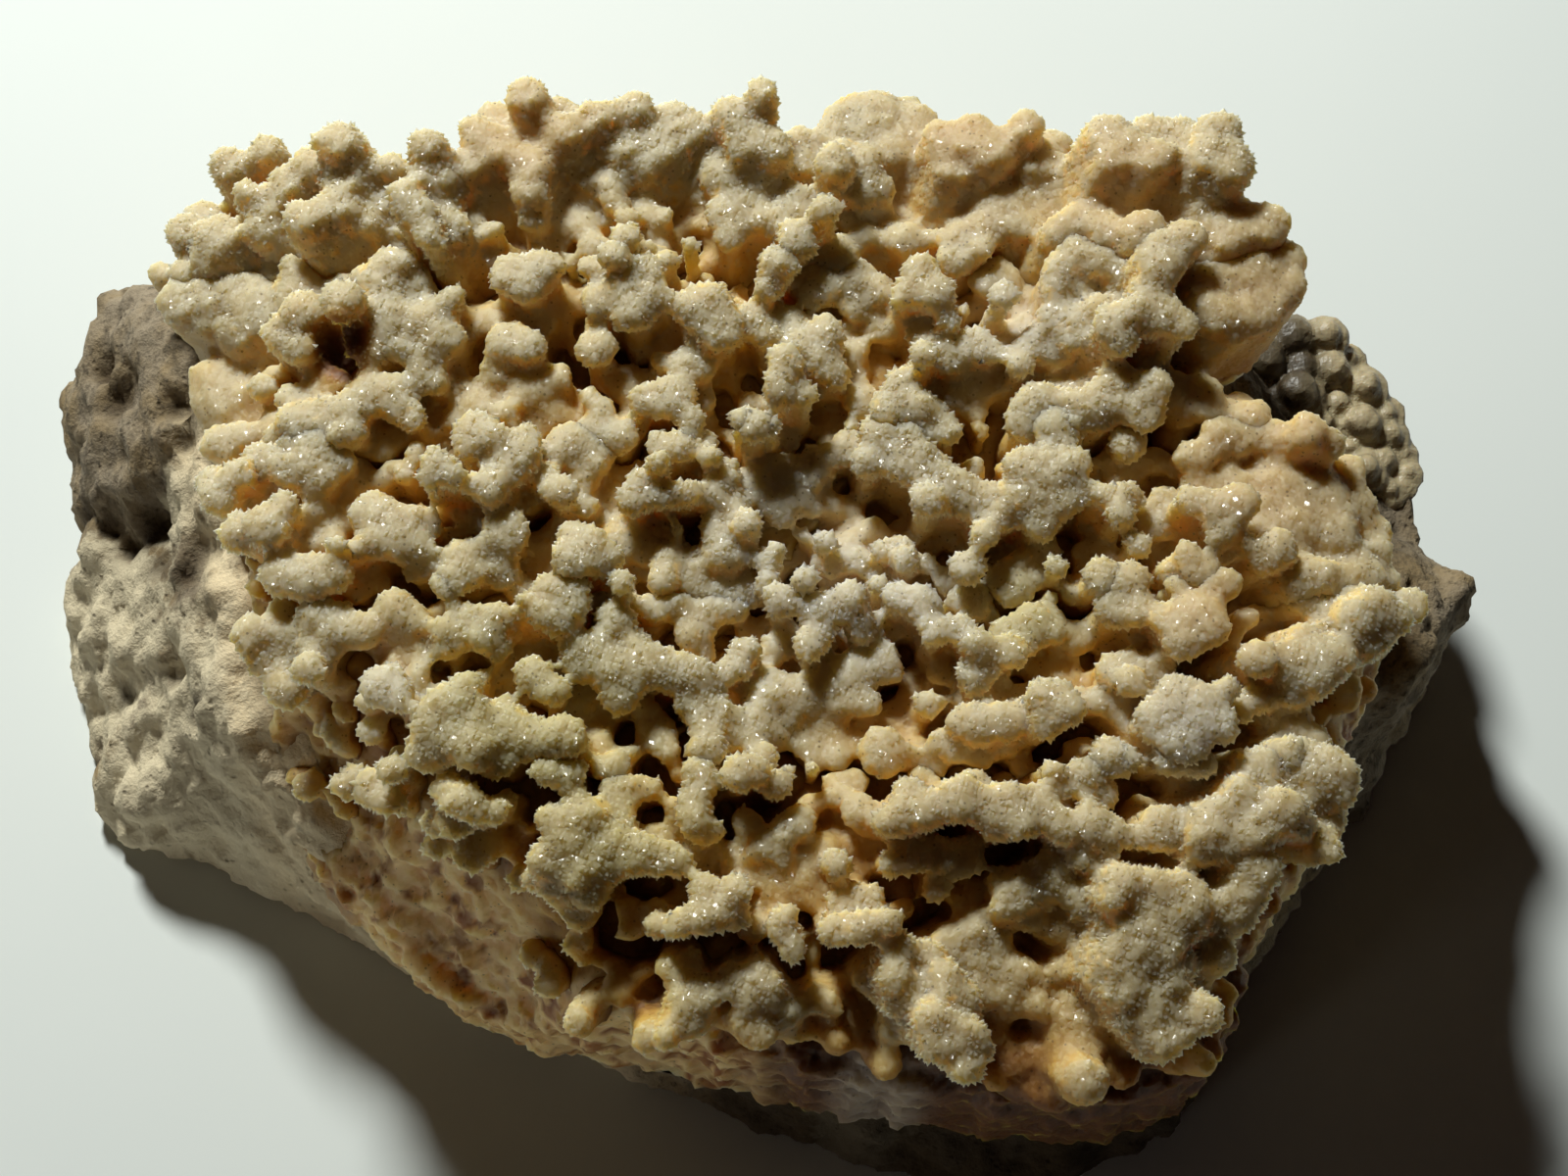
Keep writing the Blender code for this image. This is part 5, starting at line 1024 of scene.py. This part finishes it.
# limestone that the crust grew on: broken sides, pits and chips, and a flat foot
limestoneBlock = {
    "weld": 0.01,  # mm, corners of the solid that are closer than this are one
    "grain": 0.85,  # mm
    "broadLumps": (8.0, 3.4, 5),  # mm across, mm in and out, steps of detail
    "lumps": (4.0, 1.6, 2),
    "chips": (1.8, 0.8, 2),
    "pits": (1.2, 0.3),
    "pitLevel": 0.55,
    "footClear": (0.3, 1.2),  # mm above the foot where it starts to be rough, and over what length
    "footFlat": 0.25,  # mm, what is lower is pressed flat
    "hollowPush": (1.0, 0.0, -1.6),  # mm, which way the dark hollows are pressed in
    "hollowFrom": (6.0, 4.0),  # mm above the foot, and over what length
}
# corners drawn out before the rock is fused: x, y, z, width, and the move in x, y and z, in mm
rockCorners = ((-71, -11, 5, 6, -5, -4, 0), (-77, 32, 14, 7, -4.5, 1, 0), (-70, 40, 24, 6, -5, 2, 1))
# dents and bulges made after that, in the same way
rockDents = (
    (-72, 15, 20, 2.5, 2.2, 0, -1.5), (-66, 14, 27, 2.5, 1.5, 0, -1.8), (-68, 15.6, 23, 1.3, 1.5, 0, -2),
    (-72, 24, 22, 5, -1.5, 0, 1), (10, -51, 12, 5, 0, -2, 0),
)
# dark hollows, pressed in and darkened as painted shade: x, y, width in mm
rockHollows = (
    (-71.9, 28.3, 1.5), (-74, 32.4, 1.2), (-77.7, 19, 1.2), (-74.3, 16.3, 1.3), (-71.3, 13.6, 1.6),
    (-68.1, 14.6, 2.2), (-66.4, 9.5, 1.8), (-62.2, 5.9, 1.6), (-60.9, 7.8, 1.5), (-62.7, 20.6, 1.0),
    (-63.8, 24, 1.0), (-64.5, -3, 1.0), (-60.5, -8, 1.1), (-72, -2, 1.0),
)
# where the colours of the rock lie: places are x, y, width, and the rest is start and length, all in mm
rockPaint = {
    "creamMain": (-76, 4, 9),
    "creamFrom": (-16, 5),
    "creamPlaces": ((-62, -8, 7), (-69, -13, 6), (-64, 14, 3), (-56, -18, 9), (12, -50, 4), (-40, -30, 8)),
    "stripOut": (2.5, 4.0),  # pale strip along the rim of the crust, at its front and left
    "stripFront": (-26.0, 8.0),
    "stripLeft": (8.0, 8.0),
    "darkFront": (38, 8),  # painted shade on the underside at the front
    "darkRight": (-8, 6),
    # painted shadow of the crust on the rock by the shelf, and painted shade in the hollows
    "darkPlaces": ((66, 28, 9), *rockHollows),
}


def pull(points, rows):
    for x, y, z, width, dx, dy, dz in rows:
        share = np.exp(-np.sum((points - (x, y, z)) ** 2, axis=1) / (2.0 * width * width))
        points = points + share[:, None] * np.array((dx, dy, dz))
    return points


def copyOfNode(node, name):
    bpy.ops.object.select_all(action="DESELECT")
    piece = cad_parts[node].copy()
    piece.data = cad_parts[node].data.copy()
    for key in list(piece.keys()):
        del piece[key]
    piece.parent = None
    piece.name = name
    piece.data.name = name
    bpy.context.scene.collection.objects.link(piece)
    pickOnly(piece)
    bpy.ops.object.mode_set(mode="EDIT")
    bpy.ops.mesh.select_all(action="SELECT")
    bpy.ops.mesh.remove_doubles(threshold=limestoneBlock["weld"] * mm)
    bpy.ops.mesh.normals_make_consistent(inside=False)
    bpy.ops.object.mode_set(mode="OBJECT")
    return piece


def shapeRock(rock):
    writePoints(rock, pull(readPoints(rock), rockCorners))
    voxelRemesh(rock, limestoneBlock["grain"])
    points = pull(readPoints(rock), rockDents)
    x, y, z = points.T
    pressed = spots(x, y, rockHollows) * ramp(z, *limestoneBlock["hollowFrom"])
    writePoints(rock, points + pressed[:, None] * limestoneBlock["hollowPush"])
    addWeights(rock, "free", ramp(readPoints(rock)[:, 2], *limestoneBlock["footClear"]))
    for layer in ("broadLumps", "lumps", "chips"):
        size, height, depth = limestoneBlock[layer]
        roughen(rock, size, height, depth=depth, group="free")
    roughen(rock, *limestoneBlock["pits"], level=limestoneBlock["pitLevel"], group="free", kind="VORONOI")
    points = readPoints(rock)
    points[:, 2] = np.where(points[:, 2] < limestoneBlock["footFlat"], 0.0, points[:, 2])
    writePoints(rock, points)


def paintRock(rock):
    x, y, _ = readPoints(rock).T
    main = hump(x, y, *rockPaint["creamMain"]) * ramp(y, *rockPaint["creamFrom"])
    paint(rock, "cream", np.maximum(main, spots(x, y, rockPaint["creamPlaces"])))
    inside, _ = rimDistance(x, y)
    strip = 1.0 - ramp(-inside, *rockPaint["stripOut"])
    strip = strip * ramp(-y, *rockPaint["stripFront"]) * ramp(-x, *rockPaint["stripLeft"])
    paint(rock, "strip", strip)
    # painted shade on the underside at the front and in the hollows, and a painted shadow by the shelf
    underside = ramp(-y, *rockPaint["darkFront"]) * ramp(x, *rockPaint["darkRight"])
    paint(rock, "dark", np.maximum(underside, spots(x, y, rockPaint["darkPlaces"])))


def buildLimestone():
    rock = copyOfNode("limestone_matrix", "limestoneBlock")
    shapeRock(rock)
    rock.data.shade_smooth()
    paintRock(rock)
    giveMaterial(rock, greyLimestone)
    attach(rock, "root")
    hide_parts("limestone_matrix")
    print("limestoneBlock", triangleCount(rock), "triangles")


# small smooth knobs on the shelf at the back right: x, y, radius in mm
shelfRows = (
    (62.4, 36.2, 2.9), (66.4, 36.4, 1.8), (59, 33, 2.6), (63.4, 32.4, 2.2), (66.8, 32.6, 2.5),
    (69.4, 34.6, 1.2), (70.9, 31.0, 1.9), (67.4, 28.6, 1.6), (73.4, 28.2, 1.3), (70.2, 26.2, 2.3),
    (73.6, 25.4, 1.5), (71.6, 28.3, 1.0), (75, 23.4, 1.1), (72.4, 22, 1.8), (75.2, 20.8, 1.0),
    (72.9, 18.6, 1.3), (70, 20.4, 1.7), (65.6, 26, 1.4), (62.5, 29, 2.4), (66, 22.4, 1.2),
    (68.4, 23.2, 1.0), (74.4, 22.2, 0.8), (71.2, 24.2, 0.9), (74.6, 19.4, 0.8),
)
shelfKnobs = {
    "grain": 0.4,  # mm
    "raised": 0.55,  # how far the middle of a knob is above the rock, in radii
    "pad": 1.3,  # mm that the flat foot of a knob is wider than it
    "padHeight": 0.45,
    "easing": 2,
    "lumps": (1.4, 0.35),  # mm across, and mm in and out
    "castFrom": 33,  # mm, from where the rock is looked for
    "rockLevel": 24.0,  # mm, where there is none
    "shadeZone": (3.0, 7.0),  # painted shadow of the crust: mm outside its rim where it starts to fade, and over what length
    "shadeCloud": (4.0, 0.5),  # mm across, strength
}


def buildShelfKnobs(seeds):
    rock = bpy.data.objects["limestoneBlock"]
    bpy.context.view_layer.update()
    head = seeds[0]
    parts = []
    for x, y, radius in shelfRows:
        hit, place, _, _ = rock.ray_cast(Vector((x, y, shelfKnobs["castFrom"])) * mm, Vector((0, 0, -1)))
        level = place.z / mm if hit else shelfKnobs["rockLevel"]
        middle = Vector((x, y, level + radius * shelfKnobs["raised"]))
        ball = Matrix.Translation(middle) @ Matrix.Scale(radius, 4)
        squashed = Matrix.Diagonal((1.0, 1.0, shelfKnobs["padHeight"], 1.0))
        flat = squashed @ Matrix.Scale(radius + shelfKnobs["pad"], 4)
        parts.append(ownCopy(head, toMetres @ ball))
        parts.append(ownCopy(head, toMetres @ Matrix.Translation(Vector((x, y, level))) @ flat))
    piece = joinAll(parts, "shelfKnobs")
    voxelRemesh(piece, shelfKnobs["grain"])
    easedSmooth(piece, shelfKnobs["easing"])
    roughen(piece, *shelfKnobs["lumps"])
    points = readPoints(piece)
    inside, _ = rimDistance(points[:, 0], points[:, 1])
    # painted light: paler where the surface faces up, and a painted shadow near the crust
    paint(piece, "up", 0.5 + 0.5 * readNormals(piece)[:, 2])
    shade = 1.0 - ramp(-inside, *shelfKnobs["shadeZone"]) + mottle(points, *shelfKnobs["shadeCloud"])
    paint(piece, "shade", shade)
    giveMaterial(piece, shelfCalcite)
    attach(piece, "root")
    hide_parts("shelf_crust")
    print("shelfKnobs", triangleCount(piece), "triangles")


# materials: colours are paint-program codes, and pattern sizes are in mm of the real stone

def addNode(tree, kind, feeds=None, **settings):
    # feeds are numbers, colours, sockets of other nodes, or nodes that feed in by their first socket
    node = tree.nodes.new(kind)
    for name, value in settings.items():
        setattr(node, name, value)
    for socket, feed in (feeds or {}).items():
        if isinstance(feed, bpy.types.Node):
            feed = feed.outputs[0]
        if isinstance(feed, bpy.types.NodeSocket):
            tree.links.new(feed, node.inputs[socket])
        else:
            node.inputs[socket].default_value = feed
    return node


def newMaterial(name, *paints):
    # each material starts from the place on the piece and the amounts painted on it
    material = bpy.data.materials.new(name)
    material.use_nodes = True
    tree = material.node_tree
    tree.nodes.clear()
    place = addNode(tree, "ShaderNodeTexCoord").outputs["Object"]
    painted = {}
    for layer in paints:
        painted[layer] = addNode(tree, "ShaderNodeAttribute", attribute_name=layer).outputs["Fac"]
    return material, tree, place, painted


druse = {
    "tan": "#EACA86",
    "honey": "#CCA252",
    "brown": "#946226",
    "darkest": "#542A0C",
    "depths": {"honey": (0.15, 0.65), "brown": (0.55, 0.9), "darkest": (0.8, 1.1)},  # where each sets in
    "cream": "#C2AE82",
    "milky": "#C4B898",
    "green": "#E6E8B0",
    "white": "#D2CABA",
    "warm": "#CDAA74",
    "wall": "#F4D092",
    "wallPits": "#965A22",
    "speck": "#3A2A18",
    "speckRare": 0.94,  # share of the crystals without a speck
    "speckSize": 0.35,
    "speckShare": 0.45,
    "crystal": 0.4,  # mm across a face, coarser than the finest real ones, which wouldn't show
    "tilt": 0.32,  # how much the smallest faces are turned
    "glintTilt": 1.3,
    "glint": 0.2,
    "glintRoughness": 0.1,
    "softFacets": 0.8,  # share of the shading that comes from the surface under the crystal points
    "roughness": 0.62,
    "ior": 1.55,  # calcite has 1.49 to 1.66
    "glintIor": 1.5,
    "glow": 1.0,
    "glowDepth": 4.2,  # mm
    "glowColour": (1.0, 0.88, 0.54),
}


def makeCalciteDruse():
    # calcite grown as a skin of tiny crystals: frosted and soft with a few glints; honey to dark brown deeper
    # down, partly iron stain and partly painted shade in the recesses, and cream on the tops, partly the
    # crystal caps and partly painted light
    material, tree, place, painted = newMaterial(
        "calciteDruse", "deep", "frost", "cap", "green", "white", "warm", "pits", "wall")
    colour = sRgb(druse["tan"])
    # honey, brown and dark brown deeper down: partly iron stain, partly painted shade in the recesses
    for tone, (start, end) in druse["depths"].items():
        share = addNode(tree, "ShaderNodeMapRange", {
            "Value": painted["deep"], "From Min": start, "From Max": end}, interpolation_type="SMOOTHSTEP")
        colour = addNode(tree, "ShaderNodeMix", {
            0: share, 6: colour, 7: sRgb(druse[tone])}, data_type="RGBA").outputs[2]
    frost = addNode(tree, "ShaderNodeMix", {
        0: painted["frost"], 6: sRgb(druse["cream"]), 7: sRgb(druse["milky"])}, data_type="RGBA").outputs[2]
    broken = addNode(tree, "ShaderNodeMix", {
        0: painted["pits"], 6: sRgb(druse["wall"]), 7: sRgb(druse["wallPits"])}, data_type="RGBA").outputs[2]
    # smallest crystals: each cell is one face with its own turn, so that only a few catch the lamp
    cells = addNode(tree, "ShaderNodeTexVoronoi", {"Vector": place, "Scale": 1.0 / (druse["crystal"] * mm)})
    red = addNode(tree, "ShaderNodeSeparateColor", {0: cells.outputs["Color"]})
    rare = addNode(tree, "ShaderNodeMath", {0: red, 1: druse["speckRare"]}, operation="GREATER_THAN")
    near = addNode(tree, "ShaderNodeMath", {
        0: cells.outputs["Distance"], 1: druse["speckSize"]}, operation="LESS_THAN")
    speck = addNode(tree, "ShaderNodeMath", {0: near, 1: rare}, operation="MULTIPLY")
    speck = addNode(tree, "ShaderNodeMath", {0: speck, 1: druse["speckShare"]}, operation="MULTIPLY")
    # cream over the tops that face up is partly the crystal caps and partly painted light
    for share, coat, way in (
            (painted["cap"], frost, "MIX"),
            (painted["green"], sRgb(druse["green"]), "MULTIPLY"),
            (painted["white"], sRgb(druse["white"]), "MIX"),
            (painted["warm"], sRgb(druse["warm"]), "MIX"),
            (painted["wall"], broken, "MIX"),
            (speck, sRgb(druse["speck"]), "MIX")):
        colour = addNode(tree, "ShaderNodeMix", {
            0: share, 6: colour, 7: coat}, data_type="RGBA", blend_type=way).outputs[2]
    body = addNode(tree, "ShaderNodeAttribute", attribute_name="body").outputs["Vector"]
    facing = addNode(tree, "ShaderNodeMix", {
        0: druse["softFacets"], 4: addNode(tree, "ShaderNodeNewGeometry").outputs["Normal"], 5: body},
        data_type="VECTOR").outputs[1]
    aside = addNode(tree, "ShaderNodeVectorMath", {
        0: cells.outputs["Color"], 1: (0.5, 0.5, 0.5)}, operation="SUBTRACT")
    normals = {}
    for socket, tilt in (("Normal", druse["tilt"]), ("Coat Normal", druse["glintTilt"])):
        turned = addNode(tree, "ShaderNodeVectorMath", {
            0: aside, 1: (tilt, tilt, tilt), 2: facing}, operation="MULTIPLY_ADD")
        normals[socket] = addNode(tree, "ShaderNodeVectorMath", {0: turned}, operation="NORMALIZE")
    glint = addNode(tree, "ShaderNodeMath", {0: painted["cap"], 1: druse["glint"]}, operation="MULTIPLY")
    shader = addNode(tree, "ShaderNodeBsdfPrincipled", {
        "Base Color": colour, "Roughness": druse["roughness"], "IOR": druse["ior"], **normals,
        "Coat Weight": glint, "Coat Roughness": druse["glintRoughness"], "Coat IOR": druse["glintIor"],
        "Subsurface Weight": druse["glow"], "Subsurface Scale": druse["glowDepth"] * mm,
        "Subsurface Radius": druse["glowColour"]})
    addNode(tree, "ShaderNodeOutputMaterial", {"Surface": shader})
    return material


stone = {
    "grey": "#9A8C76",
    "stain": "#927E5C",
    "darkGrey": "#4E4538",
    "cream": "#D8CAAA",
    "strip": "#E0CEAA",
    "brown": "#33230F",
    # patterns: mm across, detail, roughness
    "stains": (9.0, 5.0, 0.6),
    "grit": (1.2, 4.0, 0.65),
    "streaks": (1.6, 3.0, 0.6),
    "blotches": (3.0, 4.0, 0.6),
    "patches": (2.0, 4.0, 0.5),
    "streakPull": (1.0, 0.3, 0.5),  # streaks are drawn out in y and z
    "streakShare": 0.4,
    "blotchShare": 1.2,
    # values of a pattern from which it shows and at which it is full
    "shows": {
        "stains": (0.35, 0.65), "grit": (0.5, 0.75), "streaks": (0.5, 0.65), "blotches": (0.3, 0.6),
        "patches": (0.25, 0.5), "pits": (0.05, 0.25)},
    "darkShare": 0.85,
    "pitSize": 1.6,  # mm
    "pitDark": 0.25,
    "pitDeep": 0.3,
    "bump": 0.9,
    "bumpDepth": 0.5,  # mm
    "roughness": 0.9,
    "gloss": 0.3,
}


def makeGreyLimestone():
    # limestone, broken and weathered: dull and gritty, grey-brown with small pits and cream patches, and dark
    # brown painted shade where the rock is painted dark
    material, tree, place, painted = newMaterial("greyLimestone", "cream", "strip", "dark")
    drawn = addNode(tree, "ShaderNodeVectorMath", {0: place, 1: stone["streakPull"]}, operation="MULTIPLY")
    pattern = {}
    for name in ("stains", "grit", "streaks", "blotches", "patches"):
        size, detail, rough = stone[name]
        pattern[name] = addNode(tree, "ShaderNodeTexNoise", {
            "Vector": drawn if name == "streaks" else place, "Scale": 1.0 / (size * mm),
            "Detail": detail, "Roughness": rough}).outputs["Fac"]
    offset = addNode(tree, "ShaderNodeMath", {0: pattern["blotches"], 1: 0.5}, operation="SUBTRACT")
    offset = addNode(tree, "ShaderNodeMath", {0: offset, 1: stone["blotchShare"]}, operation="MULTIPLY")
    pattern["blotches"] = addNode(tree, "ShaderNodeMath", {0: painted["cream"], 1: offset})
    colour = sRgb(stone["grey"])
    for name, strength, tone in (
            ("stains", 1.0, "stain"), ("grit", 1.0, "darkGrey"),
            ("streaks", stone["streakShare"], "darkGrey"), ("blotches", 1.0, "cream")):
        start, end = stone["shows"][name]
        share = addNode(tree, "ShaderNodeMapRange", {
            "Value": pattern[name], "From Min": start, "From Max": end, "To Max": strength},
            interpolation_type="SMOOTHSTEP")
        colour = addNode(tree, "ShaderNodeMix", {
            0: share, 6: colour, 7: sRgb(stone[tone])}, data_type="RGBA").outputs[2]
    start, end = stone["shows"]["patches"]
    patchy = addNode(tree, "ShaderNodeMapRange", {
        "Value": pattern["patches"], "From Min": start, "From Max": end}, interpolation_type="SMOOTHSTEP")
    pits = addNode(tree, "ShaderNodeTexVoronoi", {"Vector": place, "Scale": 1.0 / (stone["pitSize"] * mm)})
    start, end = stone["shows"]["pits"]
    hole = addNode(tree, "ShaderNodeMapRange", {
        "Value": pits.outputs["Distance"], "From Min": start, "From Max": end, "To Min": 1.0, "To Max": 0.0},
        interpolation_type="SMOOTHSTEP")
    # dark brown painted shade where the rock is painted dark, and darker small pits
    for value, strength, tone in (
            (painted["strip"], patchy, "strip"),
            (painted["dark"], stone["darkShare"], "brown"),
            (hole, stone["pitDark"], "brown")):
        share = addNode(tree, "ShaderNodeMath", {0: value, 1: strength}, operation="MULTIPLY")
        colour = addNode(tree, "ShaderNodeMix", {
            0: share, 6: colour, 7: sRgb(stone[tone])}, data_type="RGBA").outputs[2]
    sunk = addNode(tree, "ShaderNodeMath", {0: hole, 1: stone["pitDeep"]}, operation="MULTIPLY")
    relief = addNode(tree, "ShaderNodeMath", {0: pattern["grit"], 1: sunk}, operation="SUBTRACT")
    bump = addNode(tree, "ShaderNodeBump", {
        "Height": relief, "Strength": stone["bump"], "Distance": stone["bumpDepth"] * mm})
    shader = addNode(tree, "ShaderNodeBsdfPrincipled", {
        "Base Color": colour, "Roughness": stone["roughness"], "Normal": bump,
        "Specular IOR Level": stone["gloss"]})
    addNode(tree, "ShaderNodeOutputMaterial", {"Surface": shader})
    return material


shelfLook = {
    # pale is painted light on the tops, shade is painted shade on the sides, dark is the painted shadow near
    # the crust
    "pale": "#B5A684",
    "shade": "#5E4C30",
    "dark": "#2E2214",
    "patches": (2.5, 4.0, 0.6),  # mm across, detail, roughness
    "patchShare": 0.8,
    "paleFrom": (0.55, 0.95),
    "darkShare": 0.9,
    "grain": (0.6, 3.0, 0.5),
    "bump": 0.5,
    "bumpDepth": 0.15,  # mm
    "roughness": 0.45,
    "glow": 0.4,
    "glowDepth": 1.0,  # mm
    "glowColour": (1.0, 0.6, 0.3),
}


def makeShelfCalcite():
    # older calcite on the shelf, grown in round knobs: smooth, waxy and greyer, with painted light: pale
    # where it faces up, painted shade on its sides and a painted shadow near the crust
    material, tree, place, painted = newMaterial("shelfCalcite", "up", "shade")
    pattern = {}
    for name in ("patches", "grain"):
        size, detail, rough = shelfLook[name]
        pattern[name] = addNode(tree, "ShaderNodeTexNoise", {
            "Vector": place, "Scale": 1.0 / (size * mm), "Detail": detail, "Roughness": rough}).outputs["Fac"]
    offset = addNode(tree, "ShaderNodeMath", {0: pattern["patches"], 1: 0.5}, operation="SUBTRACT")
    offset = addNode(tree, "ShaderNodeMath", {0: offset, 1: shelfLook["patchShare"]}, operation="MULTIPLY")
    edge = addNode(tree, "ShaderNodeMath", {0: painted["up"], 1: offset})
    start, end = shelfLook["paleFrom"]
    pale = addNode(tree, "ShaderNodeMapRange", {
        "Value": edge, "From Min": start, "From Max": end}, interpolation_type="SMOOTHSTEP")
    shade = addNode(tree, "ShaderNodeMath", {
        0: painted["shade"], 1: shelfLook["darkShare"]}, operation="MULTIPLY", use_clamp=True)
    colour = sRgb(shelfLook["shade"])
    for share, tone in ((pale, "pale"), (shade, "dark")):
        colour = addNode(tree, "ShaderNodeMix", {
            0: share, 6: colour, 7: sRgb(shelfLook[tone])}, data_type="RGBA").outputs[2]
    bump = addNode(tree, "ShaderNodeBump", {
        "Height": pattern["grain"], "Strength": shelfLook["bump"],
        "Distance": shelfLook["bumpDepth"] * mm})
    shader = addNode(tree, "ShaderNodeBsdfPrincipled", {
        "Base Color": colour, "Roughness": shelfLook["roughness"], "Normal": bump,
        "Subsurface Weight": shelfLook["glow"], "Subsurface Scale": shelfLook["glowDepth"] * mm,
        "Subsurface Radius": shelfLook["glowColour"]})
    addNode(tree, "ShaderNodeOutputMaterial", {"Surface": shader})
    return material


floorLook = {
    "white": "#EDF2EF",
    "greyer": "#E6ECE9",
    "cloudSize": 60.0,  # mm
    "roughness": 0.8,
    "gloss": 0.2,
    "width": 3.0,  # metres
}


def makeFloorPaint():
    # matt white paint, rolled on: no gloss and hardly any change of tone
    material, tree, place, _ = newMaterial("floorPaint")
    clouds = addNode(tree, "ShaderNodeTexNoise", {
        "Vector": place, "Scale": 1.0 / (floorLook["cloudSize"] * mm), "Detail": 2.0})
    colour = addNode(tree, "ShaderNodeMix", {
        0: clouds, 6: sRgb(floorLook["white"]), 7: sRgb(floorLook["greyer"])}, data_type="RGBA").outputs[2]
    shader = addNode(tree, "ShaderNodeBsdfPrincipled", {
        "Base Color": colour, "Roughness": floorLook["roughness"], "Specular IOR Level": floorLook["gloss"]})
    addNode(tree, "ShaderNodeOutputMaterial", {"Surface": shader})
    return material


calciteDruse = makeCalciteDruse()
greyLimestone = makeGreyLimestone()
shelfCalcite = makeShelfCalcite()
floorPaint = makeFloorPaint()
print("materials made")

knobSeeds = modelKnobSeeds()
heads, caps = capRows(random.Random(knobs["seed"]))
fillers = gapRows(heads, caps, random.Random(knobs["seed"]))
# the knobs are fused in bands from back to front: lowest and highest y of each, in mm
bands = ((34, 99), (14, 34), (-3, 14), (-22, -3), (-99, -22))
for number, (low, high) in enumerate(bands):
    rows = [row for row in (*heads, *fillers) if low <= row[1] < high]
    buildKnobs(f"knobs{number + 1}", rows, knobSeeds, knobs["seed"] + number)
buildBed()
buildLimestone()
buildShelfKnobs(knobSeeds)
for seed in knobSeeds:
    bpy.data.objects.remove(seed)


# plain pale floor under the specimen

def buildFloor():
    bpy.ops.object.select_all(action="DESELECT")
    bpy.ops.mesh.primitive_plane_add(size=floorLook["width"], location=(0, 0, 0))
    floor = bpy.context.object
    floor.name = "floor"
    floor.data.materials.append(floorPaint)


buildFloor()
